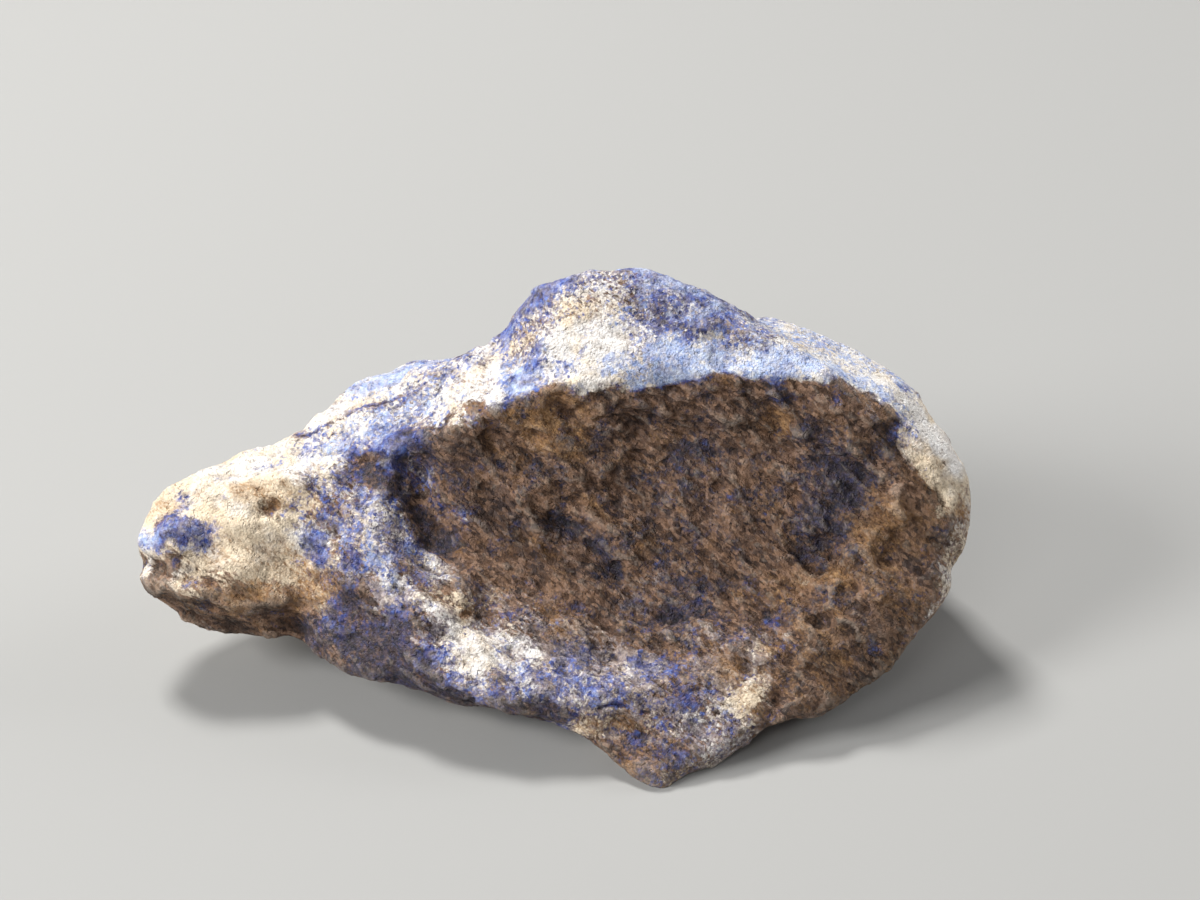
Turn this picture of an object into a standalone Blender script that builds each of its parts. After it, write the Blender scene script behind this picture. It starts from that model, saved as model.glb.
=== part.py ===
"""Rough lapis lazuli: one broken lump of rock that lies on a flat worn face.

The lump is a few chunky blocks, each the convex hull of its own corners, joined into one body.
Flakes that broke off are ellipsoids cut out of it, and small knobs are ellipsoids added to it.
The whole is then weathered, cut flat underneath, faceted and set on its base.

Corners are in millimetres from the toe, the low point at the front: x to the right, y to the back, z up.
"""

import math
from collections import namedtuple

import bmesh
import bpy
from mathutils import Euler, Matrix, Vector

MM = 0.001

# An ellipsoid in millimetres. Its radii are across, through and along the face that it leaves or makes;
# the face is rolled in its own plane, then tilted back about x, then turned about z, all in degrees.
Lobe = namedtuple("Lobe", "centre radii roll tilt turn")

# Noise that breaks up the skin: its kind, and its size and height in millimetres.
Noise = namedtuple("Noise", "kind size height")

# Overall size of the finished lump, in millimetres.
LENGTH = 65.0
DEPTH = 37.1
HEIGHT = 29.8

# The weathered skin.
SKIN_VOXEL = 0.7
SKIN_SOFTENING = 2
SKIN_TRIANGLES = 8600
BASE_LEVEL = 0.0

WAVES = Noise("CLOUDS", 6.0, 1.3)
LUMPS = Noise("CLOUDS", 3.0, 0.9)
CHIPS = Noise("VORONOI", 4.0, 0.5)

# The rock splits along this direction, so the finer noise is drawn out along it.
GRAIN_TURN = (-30.0, 35.0, 0.0)
GRAIN_STRETCH = (2.2, 1.0, 0.8)

# Sides of a lobe, round it and from pole to pole.
LOBE_SIDES = 48
LOBE_RINGS = 24

BODY = (
    # rim over the hollow, left to right
    (-8.9, 18.5, 19.3),
    (-5.0, 19.0, 21.7),
    (-0.8, 19.3, 23.3),
    (4.9, 19.3, 24.3),
    (11.0, 19.5, 24.7),
    (20.8, 19.4, 24.6),
    (24.1, 19.0, 22.4),
    (27.4, 18.9, 19.6),
    (29.2, 17.8, 17.0),
    (30.4, 16.6, 14.5),
    (30.4, 15.5, 11.5),
    (29.3, 13.6, 8.0),
    (26.6, 11.1, 5.0),
    # right end, top to bottom
    (28.5, 20.0, 20.0),
    (29.9, 18.9, 18.4),
    (32.4, 18.2, 15.6),
    (33.0, 17.9, 13.8),
    (31.4, 15.0, 10.0),
    (29.0, 11.2, 6.9),
    (26.4, 8.4, 5.0),
    (23.0, 7.1, 4.0),
    (19.9, 4.7, 2.7),
    (17.2, 4.9, 2.3),
    # where the hollow meets the shelf
    (-6.5, 11.6, 9.8),
    (-2.7, 9.1, 8.0),
    (4.9, 8.4, 6.9),
    (9.5, 8.8, 6.9),
    (16.4, 10.0, 8.1),
    # back shoulder
    (17.1, 27.9, 24.6),
    (21.4, 26.6, 23.6),
    (24.4, 24.5, 21.8),
    (27.9, 23.6, 20.4),
    (28.9, 22.0, 20.2),
    # back, low down
    (31.0, 21.0, 8.0),
    (27.0, 30.0, 7.0),
    (14.0, 36.4, 8.0),
    (0.0, 37.0, 9.0),
    (-10.0, 34.4, 8.0),
    # underside
    (19.0, 9.5, -0.8),
    (24.0, 22.0, -1.2),
    (12.0, 29.5, -1.2),
    (-7.0, 28.0, -1.2),
    (-11.0, 21.0, -1.2),
    (-7.0, 14.0, -1.2),
)

SHELF = (
    # lip, left to right
    (-8.7, 5.6, 6.6),
    (-5.7, 4.5, 6.2),
    (0.4, 3.8, 5.2),
    (15.2, 3.6, 3.6),
    # where the hollow starts
    (-8.0, 12.0, 9.0),
    (-2.7, 9.1, 8.0),
    (4.9, 8.4, 6.9),
    (9.5, 8.8, 6.9),
    (16.4, 10.0, 8.1),
    # under the lip
    (-8.8, 5.5, 3.6),
    (-5.0, 4.6, 3.7),
    (-1.9, 3.8, 3.6),
    (0.8, 3.0, 3.0),
    (15.2, 3.6, 2.4),
    (-7.0, 14.0, -0.8),
    (17.0, 12.0, -0.8),
    # facet to the right of the shelf
    (19.9, 4.7, 2.7),
    (23.0, 7.1, 4.0),
    (26.4, 8.4, 5.2),
)

TOE = (
    (8.0, -0.4, 0.8),
    (10.0, 0.7, 0.7),
    (8.0, -0.4, -0.8),
    (9.6, 0.8, -0.8),
    (11.6, 2.7, 0.8),
    # top, left to right
    (1.4, 4.2, 4.0),
    (8.0, 4.5, 3.8),
    (15.0, 3.6, 3.4),
    # underside
    (2.4, 2.5, 2.2),
    (4.7, 0.9, 1.1),
    (2.0, 9.0, -0.8),
    (15.8, 4.2, 1.8),
    (16.0, 8.0, -0.4),
)

SUMMIT = (
    # rim
    (-0.8, 19.3, 23.3),
    (4.9, 19.3, 24.3),
    (11.0, 19.5, 24.7),
    (20.8, 19.4, 24.6),
    # top of the narrow band over the rim
    (4.9, 20.1, 25.0),
    (8.0, 21.8, 25.3),
    (12.6, 21.9, 25.1),
    (19.0, 21.8, 25.0),
    # crest
    (-4.0, 25.7, 25.0),
    (-2.4, 26.4, 27.0),
    (0.0, 26.1, 28.8),
    (2.1, 26.3, 29.9),
    (5.6, 26.2, 30.3),
    (9.6, 26.3, 28.8),
    (12.1, 26.2, 27.2),
    (15.0, 26.0, 25.0),
    # behind the crest
    (-4.6, 26.4, 23.0),
    (-2.0, 31.0, 23.0),
    (-4.6, 31.5, 18.0),
    (-1.0, 33.0, 18.0),
    (6.0, 32.0, 24.0),
    (12.0, 31.0, 22.0),
    (4.0, 30.0, 12.0),
)

SHOULDER = (
    # rim
    (-0.8, 19.3, 23.3),
    (-5.0, 19.0, 21.7),
    (-8.9, 18.5, 19.3),
    (-13.6, 19.9, 17.9),
    (-16.4, 19.6, 16.8),
    # crest
    (-4.4, 26.1, 23.8),
    (-6.0, 26.2, 22.8),
    (-8.8, 26.3, 20.5),
    (-9.9, 25.4, 20.3),
    (-13.9, 24.3, 18.5),
    (-17.1, 23.8, 17.2),
    (-20.5, 23.9, 16.4),
    # behind and below
    (-2.0, 31.0, 21.0),
    (-14.0, 31.0, 8.0),
    (-18.0, 24.0, 4.0),
    (0.0, 30.0, 8.0),
)

BACK_LEDGE = (
    # top
    (-20.3, 24.6, 16.2),
    (-18.8, 27.0, 16.6),
    (-15.8, 30.1, 17.0),
    (-11.9, 30.7, 18.7),
    (-9.2, 29.0, 18.6),
    (-4.0, 32.2, 19.0),
    (3.0, 33.6, 18.5),
    (-12.0, 26.0, 17.4),
    # behind and below
    (-22.0, 24.5, 10.0),
    (-18.5, 30.5, 9.0),
    (-14.0, 34.0, 6.0),
    (-4.0, 36.0, 8.0),
    (-21.0, 24.0, 4.0),
    (-16.0, 29.5, 2.0),
    (-11.0, 21.0, -0.8),
    (-13.0, 25.0, -0.8),
    (-10.0, 29.5, -0.8),
    (-6.0, 26.0, 6.0),
)

NECK = (
    # root
    (-20.5, 23.9, 16.3),
    (-19.8, 18.2, 15.8),
    (-19.8, 12.7, 7.5),
    (-20.6, 11.4, 4.4),
    (-20.5, 18.0, 2.2),
    # edge of the steep front face, left to right
    (-16.4, 10.9, 8.0),
    (-13.4, 10.3, 9.4),
    (-10.2, 10.2, 9.6),
    (-9.2, 7.6, 7.9),
    (-8.7, 5.6, 6.6),
    # ridge beside the hollow
    (-13.6, 19.9, 17.9),
    (-16.4, 19.6, 16.8),
    (-13.2, 19.0, 16.4),
    (-10.0, 14.2, 13.4),
    (-6.5, 11.6, 9.8),
    (-13.9, 24.3, 18.3),
    # underneath
    (-20.0, 26.0, 5.0),
    (-18.6, 10.3, 4.0),
    (-15.6, 7.8, 4.1),
    (-12.3, 6.8, 3.7),
    (-9.0, 5.6, 3.6),
    (-7.0, 14.0, -0.8),
    (-11.0, 21.0, -0.8),
)

SNOUT = (
    # tip
    (-32.4, 16.4, 10.5),
    (-31.4, 19.4, 14.0),
    (-32.3, 17.9, 13.0),
    (-31.8, 15.2, 8.5),
    (-31.2, 13.6, 6.6),
    (-31.0, 18.5, 7.0),
    # a third of the way
    (-29.8, 17.1, 12.9),
    (-29.7, 12.8, 8.8),
    (-29.5, 12.4, 5.2),
    # half way
    (-27.9, 20.2, 14.7),
    (-25.2, 17.0, 14.5),
    (-25.0, 12.4, 10.0),
    (-27.1, 12.0, 4.6),
    (-24.0, 11.2, 4.3),
    (-27.0, 18.5, 4.2),
    (-27.0, 21.5, 9.0),
    # root
    (-20.5, 23.9, 16.3),
    (-19.8, 18.2, 15.8),
    (-19.8, 12.7, 7.5),
    (-20.6, 11.4, 4.4),
    (-20.5, 18.0, 2.2),
    (-20.0, 26.0, 5.0),
    (-20.5, 26.5, 11.0),
)

# Flakes broken off.
FLAKES = {
    "hollow": Lobe((7.6, 9.1, 18.2), (26.9, 9.0, 13.6), 0.0, -32.0, 0.0),
    "hollow_left": Lobe((-5.6, 12.4, 15.8), (5.6, 5.0, 9.6), -36.0, -32.0, 0.0),
    "neck_recess": Lobe((-9.8, 14.6, 15.0), (3.6, 3.2, 5.6), -30.0, -32.0, 0.0),
    "ledge_groove": Lobe((-14.6, 26.2, 18.6), (5.6, 0.9, 1.1), -14.0, 0.0, 11.3),
    "back_middle": Lobe((4.0, 38.2, 17.0), (11.0, 6.0, 8.0), 10.0, 20.0, 0.0),
    "back_right": Lobe((24.2, 33.8, 14.4), (8.0, 5.0, 9.0), -15.0, 20.0, -30.0),
    "back_left": Lobe((-14.8, 34.6, 11.5), (7.0, 4.0, 5.0), 0.0, 10.0, 18.0),
}

# Knobs standing out of the tip.
KNOBS = {
    "tip_nodule": Lobe((-31.0, 16.6, 10.6), (1.6, 1.8, 1.6), 0.0, 0.0, 0.0),
    "blue_nodule": Lobe((-28.8, 16.0, 11.6), (2.2, 2.2, 2.2), 0.0, 0.0, 0.0),
    "tip_lower_lobe": Lobe((-30.6, 15.0, 8.0), (1.7, 1.8, 2.0), 0.0, 0.0, 0.0),
}

# Blocks joined to the body.
BLOCKS = {
    "shelf": SHELF,
    "toe": TOE,
    "summit": SUMMIT,
    "shoulder": SHOULDER,
    "back_ledge": BACK_LEDGE,
    "neck": NECK,
    "snout": SNOUT,
}


def clear_scene():
    for item in list(bpy.data.objects):
        bpy.data.objects.remove(item)


def collection(name):
    made = bpy.data.collections.new(name)
    bpy.context.scene.collection.children.link(made)
    return made


def rock_material():
    """One dull blue-brown for the whole lump."""
    rock = bpy.data.materials.new("lapis_rock")
    rock.use_nodes = True
    shader = rock.node_tree.nodes["Principled BSDF"]
    shader.inputs["Base Color"].default_value = (0.19, 0.16, 0.17, 1.0)
    shader.inputs["Roughness"].default_value = 0.75
    shader.inputs["Metallic"].default_value = 0.0
    return rock


def add_object(name, shape, home):
    """Turns a bmesh into an object in the collection."""
    mesh = bpy.data.meshes.new(name)
    shape.to_mesh(mesh)
    shape.free()
    made = bpy.data.objects.new(name, mesh)
    home.objects.link(made)
    return made


def block(name, home, corners):
    """The convex hull of the corners."""
    shape = bmesh.new()
    for corner in corners:
        shape.verts.new(Vector(corner) * MM)
    hull = bmesh.ops.convex_hull(shape, input=shape.verts)
    inside = {item for item in hull["geom_interior"] if isinstance(item, bmesh.types.BMVert)}
    bmesh.ops.delete(shape, geom=list(inside), context="VERTS")
    bmesh.ops.recalc_face_normals(shape, faces=shape.faces)
    return add_object(name, shape, home)


def ellipsoid(name, home, lobe):
    shape = bmesh.new()
    bmesh.ops.create_uvsphere(shape, u_segments=LOBE_SIDES, v_segments=LOBE_RINGS, radius=1.0)
    angles = Euler([math.radians(a) for a in (lobe.tilt, lobe.roll, lobe.turn)], "YXZ")
    place = Matrix.LocRotScale(Vector(lobe.centre) * MM, angles, Vector(lobe.radii) * MM)
    bmesh.ops.transform(shape, matrix=place, verts=shape.verts)
    return add_object(name, shape, home)


def boolean(target, tool, operation):
    tool.hide_render = True
    tool.display_type = "WIRE"
    step = target.modifiers.new(f"{operation} {tool.name}", "BOOLEAN")
    step.operation = operation
    step.object = tool


def grain_direction(home):
    """An empty whose axes give the grain's direction and how far it draws the noise out."""
    empty = bpy.data.objects.new("grain_direction", None)
    empty.rotation_euler = [math.radians(a) for a in GRAIN_TURN]
    empty.scale = GRAIN_STRETCH
    home.objects.link(empty)
    return empty


def roughen(stone, name, noise, along=None):
    """Pushes the skin in and out by a noise, drawn out along a direction where one is given."""
    texture = bpy.data.textures.new(name, noise.kind)
    texture.noise_scale = noise.size * MM
    if noise.kind == "CLOUDS":
        texture.noise_basis = "IMPROVED_PERLIN"
    step = stone.modifiers.new(name, "DISPLACE")
    step.texture = texture
    step.strength = noise.height * MM
    if along is not None:
        step.texture_coords = "OBJECT"
        step.texture_coords_object = along


def weather(stone, tools):
    """Fuses the blocks into one skin, wears its edges down and breaks it up with noise."""
    fuse = stone.modifiers.new("fuse", "REMESH")
    fuse.mode = "VOXEL"
    fuse.voxel_size = SKIN_VOXEL * MM
    soften = stone.modifiers.new("soften", "SMOOTH")
    soften.iterations = SKIN_SOFTENING
    grain = grain_direction(tools)
    roughen(stone, "waves", WAVES)
    roughen(stone, "lumps", LUMPS, grain)
    roughen(stone, "chips", CHIPS, grain)


def triangle_count(item):
    graph = bpy.context.evaluated_depsgraph_get()
    mesh = item.evaluated_get(graph).data
    mesh.calc_loop_triangles()
    return len(mesh.loop_triangles)


def facet(stone):
    """Thins the skin out to its number of triangles."""
    thin = stone.modifiers.new("facet", "DECIMATE")
    thin.ratio = SKIN_TRIANGLES / triangle_count(stone)


def cut_base(stone, tools):
    """Cuts the lump flat at the level of its base."""
    shape = bmesh.new()
    side = 2.0 * LENGTH * MM
    bmesh.ops.create_cube(shape, size=side)
    bmesh.ops.translate(shape, verts=shape.verts, vec=(0.0, 0.0, BASE_LEVEL * MM - side / 2.0))
    boolean(stone, add_object("ground", shape, tools), "DIFFERENCE")


def settle(stone):
    """Fixes the finished skin, brings it to its overall size and puts its origin under its middle."""
    graph = bpy.context.evaluated_depsgraph_get()
    skin = bpy.data.meshes.new_from_object(stone.evaluated_get(graph))
    stone.modifiers.clear()
    stone.data = skin
    low = Vector([min(v.co[axis] for v in skin.vertices) for axis in range(3)])
    high = Vector([max(v.co[axis] for v in skin.vertices) for axis in range(3)])
    under = Vector(((low.x + high.x) / 2.0, (low.y + high.y) / 2.0, low.z))
    wanted = Vector((LENGTH, DEPTH, HEIGHT)) * MM
    scale = [wanted[axis] / (high[axis] - low[axis]) for axis in range(3)]
    skin.transform(Matrix.Diagonal((*scale, 1.0)) @ Matrix.Translation(-under))
    skin.name = stone.name
    skin.shade_flat()


def rough_stone(home, tools):
    """The lump where its blocks stand, before it is settled."""
    stone = block("lapis_stone", home, BODY)
    for name, corners in BLOCKS.items():
        boolean(stone, block(name, tools, corners), "UNION")
    for name, lobe in KNOBS.items():
        boolean(stone, ellipsoid(name, tools, lobe), "UNION")
    for name, lobe in FLAKES.items():
        boolean(stone, ellipsoid(name, tools, lobe), "DIFFERENCE")
    weather(stone, tools)
    facet(stone)
    cut_base(stone, tools)
    return stone


def main():
    clear_scene()
    home = collection("rough_lapis_lazuli")
    tools = collection("tools")
    stone = rough_stone(home, tools)
    settle(stone)
    stone.data.materials.clear()
    stone.data.materials.append(rock_material())


if __name__ == "__main__":
    main()
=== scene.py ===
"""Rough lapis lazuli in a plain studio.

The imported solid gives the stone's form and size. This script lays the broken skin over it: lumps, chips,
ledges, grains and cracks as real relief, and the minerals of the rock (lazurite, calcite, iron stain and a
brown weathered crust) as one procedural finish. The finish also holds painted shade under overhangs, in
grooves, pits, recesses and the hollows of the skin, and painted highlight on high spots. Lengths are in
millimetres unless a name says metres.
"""

import logging
import math
from dataclasses import dataclass
from enum import Enum
from typing import NamedTuple

import bmesh
import bpy
import numpy as np
from mathutils import Euler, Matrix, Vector, noise


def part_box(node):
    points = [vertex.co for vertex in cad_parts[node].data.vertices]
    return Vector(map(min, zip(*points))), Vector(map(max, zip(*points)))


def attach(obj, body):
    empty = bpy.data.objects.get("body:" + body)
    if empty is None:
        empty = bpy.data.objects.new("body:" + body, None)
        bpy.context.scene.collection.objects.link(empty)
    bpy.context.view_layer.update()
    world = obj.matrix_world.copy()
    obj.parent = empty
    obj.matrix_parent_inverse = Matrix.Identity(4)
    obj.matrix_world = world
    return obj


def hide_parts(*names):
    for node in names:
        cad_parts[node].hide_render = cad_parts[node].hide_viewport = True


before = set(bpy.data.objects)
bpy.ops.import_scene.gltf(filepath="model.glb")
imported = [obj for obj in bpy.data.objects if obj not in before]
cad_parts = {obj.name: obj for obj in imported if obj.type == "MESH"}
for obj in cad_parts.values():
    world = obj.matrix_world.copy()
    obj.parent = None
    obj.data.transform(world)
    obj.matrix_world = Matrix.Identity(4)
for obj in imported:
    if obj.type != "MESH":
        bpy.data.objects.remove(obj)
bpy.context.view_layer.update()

MM = 0.001
STONE_NODE = "lapis_stone"
ROCK_SLOT = "lapis_rock"
FIRST_PLACE = "first_place"
FINE_HOLLOW = "fine_hollow"
WIDE_HOLLOW = "wide_hollow"

log = logging.getLogger("lapis")

Point = tuple[float, float, float]
Colour = tuple[float, float, float]
Fade = tuple[float, float]
Socket = bpy.types.NodeSocket


# ---------------------------------------------------------------------------
# Places on the stone
# ---------------------------------------------------------------------------


def smooth_step(start: float, end: float, value: np.ndarray) -> np.ndarray:
    """An S-shaped ramp.

    Args:
        start: the value at which the ramp is 0.
        end: the value at which it is 1; it may be less than start.
        value: the numbers to ramp.

    Returns:
        Numbers from 0 to 1.
    """
    share = np.clip((value - start) / (end - start), 0.0, 1.0)
    return share * share * (3.0 - 2.0 * share)


@dataclass(frozen=True)
class Place:
    """A part of the stone's surface."""

    def distance(self, points: np.ndarray) -> np.ndarray:
        """How far each point is from the place's middle, where 1 is its edge.

        Args:
            points: an N by 3 array in millimetres.

        Returns:
            N distances.
        """
        raise NotImplementedError


@dataclass(frozen=True)
class Spot(Place):
    """What lies inside an ellipsoid."""

    centre: Point
    reach: Point

    def distance(self, points: np.ndarray) -> np.ndarray:
        """How many reaches each point is from the centre."""
        return np.linalg.norm((points - self.centre) / self.reach, axis=1)


@dataclass(frozen=True)
class Line(Place):
    """What lies along a line through a few points."""

    width: float
    path: tuple[Point, ...]

    def distance(self, points: np.ndarray) -> np.ndarray:
        """How many widths each point is from the line.

        Args:
            points: an N by 3 array in millimetres.

        Returns:
            N distances.
        """
        nearest = np.full(len(points), np.inf)
        for start, end in zip(self.path[:-1], self.path[1:]):
            low, way = np.array(start), np.array(end) - start
            along = np.clip((points - low) @ way / (way @ way), 0.0, 1.0)
            nearest = np.minimum(nearest, np.linalg.norm(points - low - along[:, None] * way, axis=1))
        return nearest / self.width


@dataclass(frozen=True)
class Bowl(Place):
    """The face that a flake left as it broke off: the wall of a tilted ellipsoid."""

    centre: Point
    radii: Point
    tilt: float
    roll: float = 0.0
    skin: float = 0.05

    def distance(self, points: np.ndarray) -> np.ndarray:
        """How far each point is outside the ellipsoid, in skins; it is 0 inside.

        Args:
            points: an N by 3 array in millimetres.

        Returns:
            N distances.
        """
        turn = Euler((math.radians(self.tilt), math.radians(self.roll), 0.0), "YXZ").to_matrix()
        local = (points - self.centre) @ np.array(turn)
        outside = np.linalg.norm(local / self.radii, axis=1) - 1.0
        return np.maximum(outside, 0.0) / self.skin


# ---------------------------------------------------------------------------
# Minerals and where they lie
# ---------------------------------------------------------------------------


class Share(Enum):
    """The vertex attributes that say what the rock holds at a point, in the order of a dress's numbers."""

    BLUE = "share_blue"
    WHITE = "share_white"
    OCHRE = "share_ochre"
    CRUST = "share_crust"
    DEPTH = "blue_depth"
    FINENESS = "fineness"


class Dress(Enum):
    """Named mixtures of minerals.

    The numbers are the shares of blue, white, ochre and brown crust, then how deep the blue is and how fine
    the mix is, in the order of Share. BLACK_BLUE, DEEP_BROWN and DARK_CRUST are also laid as painted shade.
    """

    BROWN_HOLLOW = (0.30, 0.00, 0.20, 1.00, 1.10, 0.25)
    DARK_CRUST = (0.46, 0.00, 0.08, 1.25, 1.12, 0.20)
    RUSTY_CRUST = (0.10, 0.00, 0.70, 1.24, 1.05, 0.20)
    DEEP_BROWN = (0.16, 0.00, 0.30, 1.64, 1.10, 0.25)
    MAUVE_CRUST = (0.32, 0.10, 0.30, 0.84, 0.85, 0.40)
    NAVY = (0.90, 0.04, 0.06, 0.88, 0.96, 0.10)
    DEEP_BLUE = (1.12, 0.30, 0.00, 0.08, 0.54, 0.00)
    AZURE = (1.00, 0.50, 0.00, 0.04, 0.28, 0.25)
    SPECKLED = (0.66, 0.34, 0.06, 0.38, 0.46, 0.85)
    FAWN_SPECKS = (0.12, 0.86, 0.26, 0.30, 0.60, 0.90)
    PALE_GREY = (0.34, 0.56, 0.10, 0.12, 0.34, 0.60)
    BLACK_BLUE = (0.84, 0.00, 0.02, 1.30, 1.35, 0.20)
    COBALT = (0.74, 0.45, 0.05, 0.12, 0.55, 0.15)
    VIVID_BLUE = (1.00, 0.20, 0.00, 0.00, 0.55, 0.00)
    SKY_BLUE = (0.74, 0.90, 0.00, 0.00, 0.10, 0.30)
    POWDERED = (0.44, 1.00, 0.00, 0.02, 0.08, 0.60)
    GREY_BLUE = (0.60, 0.38, 0.12, 0.34, 0.52, 0.45)
    LAVENDER = (0.50, 0.70, 0.05, 0.06, 0.34, 0.60)
    WHITE = (0.05, 1.20, 0.04, 0.00, 0.30, 0.20)
    CREAM = (0.00, 1.60, 0.42, 0.00, 0.60, 0.20)
    PALE_CREAM = (0.12, 0.95, 0.13, 0.06, 0.45, 0.50)
    OLIVE = (0.30, 0.62, 0.26, 0.30, 0.70, 0.75)
    OCHRE = (0.05, 0.60, 0.92, 0.20, 0.85, 0.30)
    MOTTLED = (0.54, 0.38, 0.22, 0.38, 0.62, 0.25)
    LILAC = (0.46, 0.26, 0.16, 0.36, 0.62, 0.60)
    TAN = (0.20, 0.62, 0.44, 0.32, 0.80, 0.60)
    ROSY = (0.08, 0.52, 0.36, 0.30, 0.60, 0.40)

    def shares(self) -> np.ndarray:
        """The dress's numbers as an array."""
        return np.array(self.value)


MARKING_FADE = 1.1
REGION_FADE = 2.0


@dataclass(frozen=True)
class Marking:
    """A place on the stone that a mixture of minerals covers."""

    name: str
    dress: Dress
    place: Place
    strength: float = 1.0
    edge: float = 0.0

    def weight(self, points: np.ndarray) -> np.ndarray:
        """How much of the mixture shows at each point.

        Args:
            points: an N by 3 array of places in millimetres.

        Returns:
            N weights from 0 to the marking's strength: fading from the middle, or even up to an edge.
        """
        distance = self.place.distance(points)
        if self.edge:
            return self.strength * smooth_step(1.0 + self.edge, 1.0 - self.edge, distance)
        return self.strength * np.exp(-MARKING_FADE * distance**2)


@dataclass(frozen=True)
class Carving:
    """A place that stands out of the stone's skin, or is sunk in it where its height is negative."""

    name: str
    height: float
    place: Place

    def heights(self, points: np.ndarray) -> np.ndarray:
        """How far the carving pushes each point out.

        Args:
            points: an N by 3 array of places in millimetres.

        Returns:
            N heights in millimetres.
        """
        return self.height * smooth_step(1.0, 0.0, self.place.distance(points))


HOLLOW = Bowl((7.8, -9.25, 18.13), (26.85, 9.0, 13.55), tilt=-32.0, skin=0.045)
HOLLOW_LEFT = Bowl((-5.4, -5.95, 15.74), (5.6, 5.0, 9.56), tilt=-32.0, roll=-36.0)
NECK_RECESS = Bowl((-9.6, -3.75, 14.95), (3.6, 3.2, 5.6), tilt=-32.0, roll=-30.0)
RIM = ((-7.8, 0.4, 19.9), (-2.5, 0.6, 22.2), (3.6, 1.0, 23.9), (11.2, 1.1, 24.5), (20.2, 0.9, 24.5),
       (24.3, 0.7, 22.0), (27.7, 0.7, 19.5), (30.1, -2.0, 14.8))
RIM_BAND = ((4.6, 1.5, 24.3), (11.2, 1.9, 25.0), (19.5, 1.8, 25.1), (24.2, 1.8, 22.6))
# where shade is painted into the crease at the snout's tip
SNOUT_CREASE_SHADE = Line(0.4, ((-29.0, -4.2, 12.2), (-29.0, -4.7, 10.6)))
LEDGE_LINE = Line(0.38, ((-20.0, 5.3, 16.0), (-17.4, 5.0, 17.6), (-15.1, 4.9, 18.5), (-12.4, 5.3, 19.4),
                         (-10.0, 5.3, 20.5)))
SHELF_CRACK = Line(0.3, ((-8.2, -7.8, 9.9), (-7.4, -8.3, 9.3), (-6.2, -8.1, 8.7)))
SHELF_THREAD = Line(0.25, ((-1.0, -9.3, 6.9), (2.8, -8.4, 6.7)))
STEP_LINE = Line(0.3, ((3.6, -14.5, 4.9), (5.6, -14.6, 4.5), (7.4, -14.8, 4.1)))
INNER_RIDGE = Line(1.2, ((-9.1, -0.2, 14.9), (-7.6, -1.2, 13.9), (-6.4, -2.1, 13.0), (-4.6, -2.9, 12.0)))
# where shade is painted into the pit at the hollow's bottom
HOLLOW_PIT_SHADE = Spot((9.0, -7.2, 7.8), (2.6, 1.3, 1.3))
BAND = ((21.2, -0.7, 18.6), (23.6, -1.8, 16.6), (22.4, -2.8, 14.4), (21.6, -3.6, 12.7), (19.7, -4.2, 11.2))
SLANT = ((0.4, -2.1, 12.9), (2.8, -3.1, 11.3), (4.4, -4.5, 9.9))
RIGHT_SHOULDER = ((25.6, 3.4, 22.0), (28.2, 2.2, 20.0), (30.0, 0.6, 17.8), (31.4, -0.4, 15.6))
RIB = ((16.6, -9.8, 7.2), (15.6, -12.2, 5.4), (14.4, -14.6, 3.5))

# Where the relief is lower than elsewhere.
CALM_PLACES = (Line(1.7, RIM_BAND), Spot((22.5, 4.6, 23.4), (8.5, 3.4, 3.0)), Line(1.6, RIGHT_SHOULDER))

# The minerals that lie under the markings; each point takes most from the nearest region.
REGIONS = (
    Marking("summit_front", Dress.SPECKLED, Spot((7.5, 4.0, 27.0), (8.0, 4.0, 4.0))),
    Marking("strip", Dress.LAVENDER, Spot((-10.5, 4.2, 20.0), (8.0, 3.0, 4.0))),
    Marking("snout", Dress.CREAM, Spot((-25.5, -1.0, 11.5), (6.5, 6.0, 6.0))),
    Marking("neck", Dress.MOTTLED, Spot((-15.0, -6.0, 9.5), (5.0, 6.0, 6.0))),
    Marking("shelf", Dress.LILAC, Spot((3.0, -11.5, 6.0), (9.0, 3.5, 3.5))),
    Marking("toe", Dress.LILAC, Spot((8.0, -16.0, 2.5), (4.0, 2.5, 3.0))),
    Marking("right_end", Dress.TAN, Spot((30.5, -1.0, 15.0), (2.5, 6.0, 7.0))),
    Marking("right_facet", Dress.DEEP_BROWN, Spot((23.0, -11.0, 5.0), (7.0, 4.0, 4.0))),
    Marking("back_slope", Dress.POWDERED, Spot((22.0, 6.5, 22.0), (7.0, 4.5, 5.0))),
    Marking("back_ledge", Dress.PALE_GREY, Spot((-15.0, 8.5, 17.0), (7.0, 4.0, 3.0))),
    Marking("summit_back", Dress.COBALT, Spot((3.0, 12.0, 24.0), (9.0, 4.0, 6.0))),
    Marking("back_left", Dress.MOTTLED, Spot((-12.0, 15.0, 9.0), (9.0, 5.0, 8.0))),
    Marking("back_middle", Dress.GREY_BLUE, Spot((4.0, 17.0, 12.0), (9.0, 5.0, 9.0))),
    Marking("back_right", Dress.LILAC, Spot((21.0, 13.0, 11.0), (9.0, 6.0, 9.0))),
    Marking("underside", Dress.OLIVE, Spot((5.0, -2.0, -3.0), (26.0, 14.0, 4.0))),
)
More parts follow.
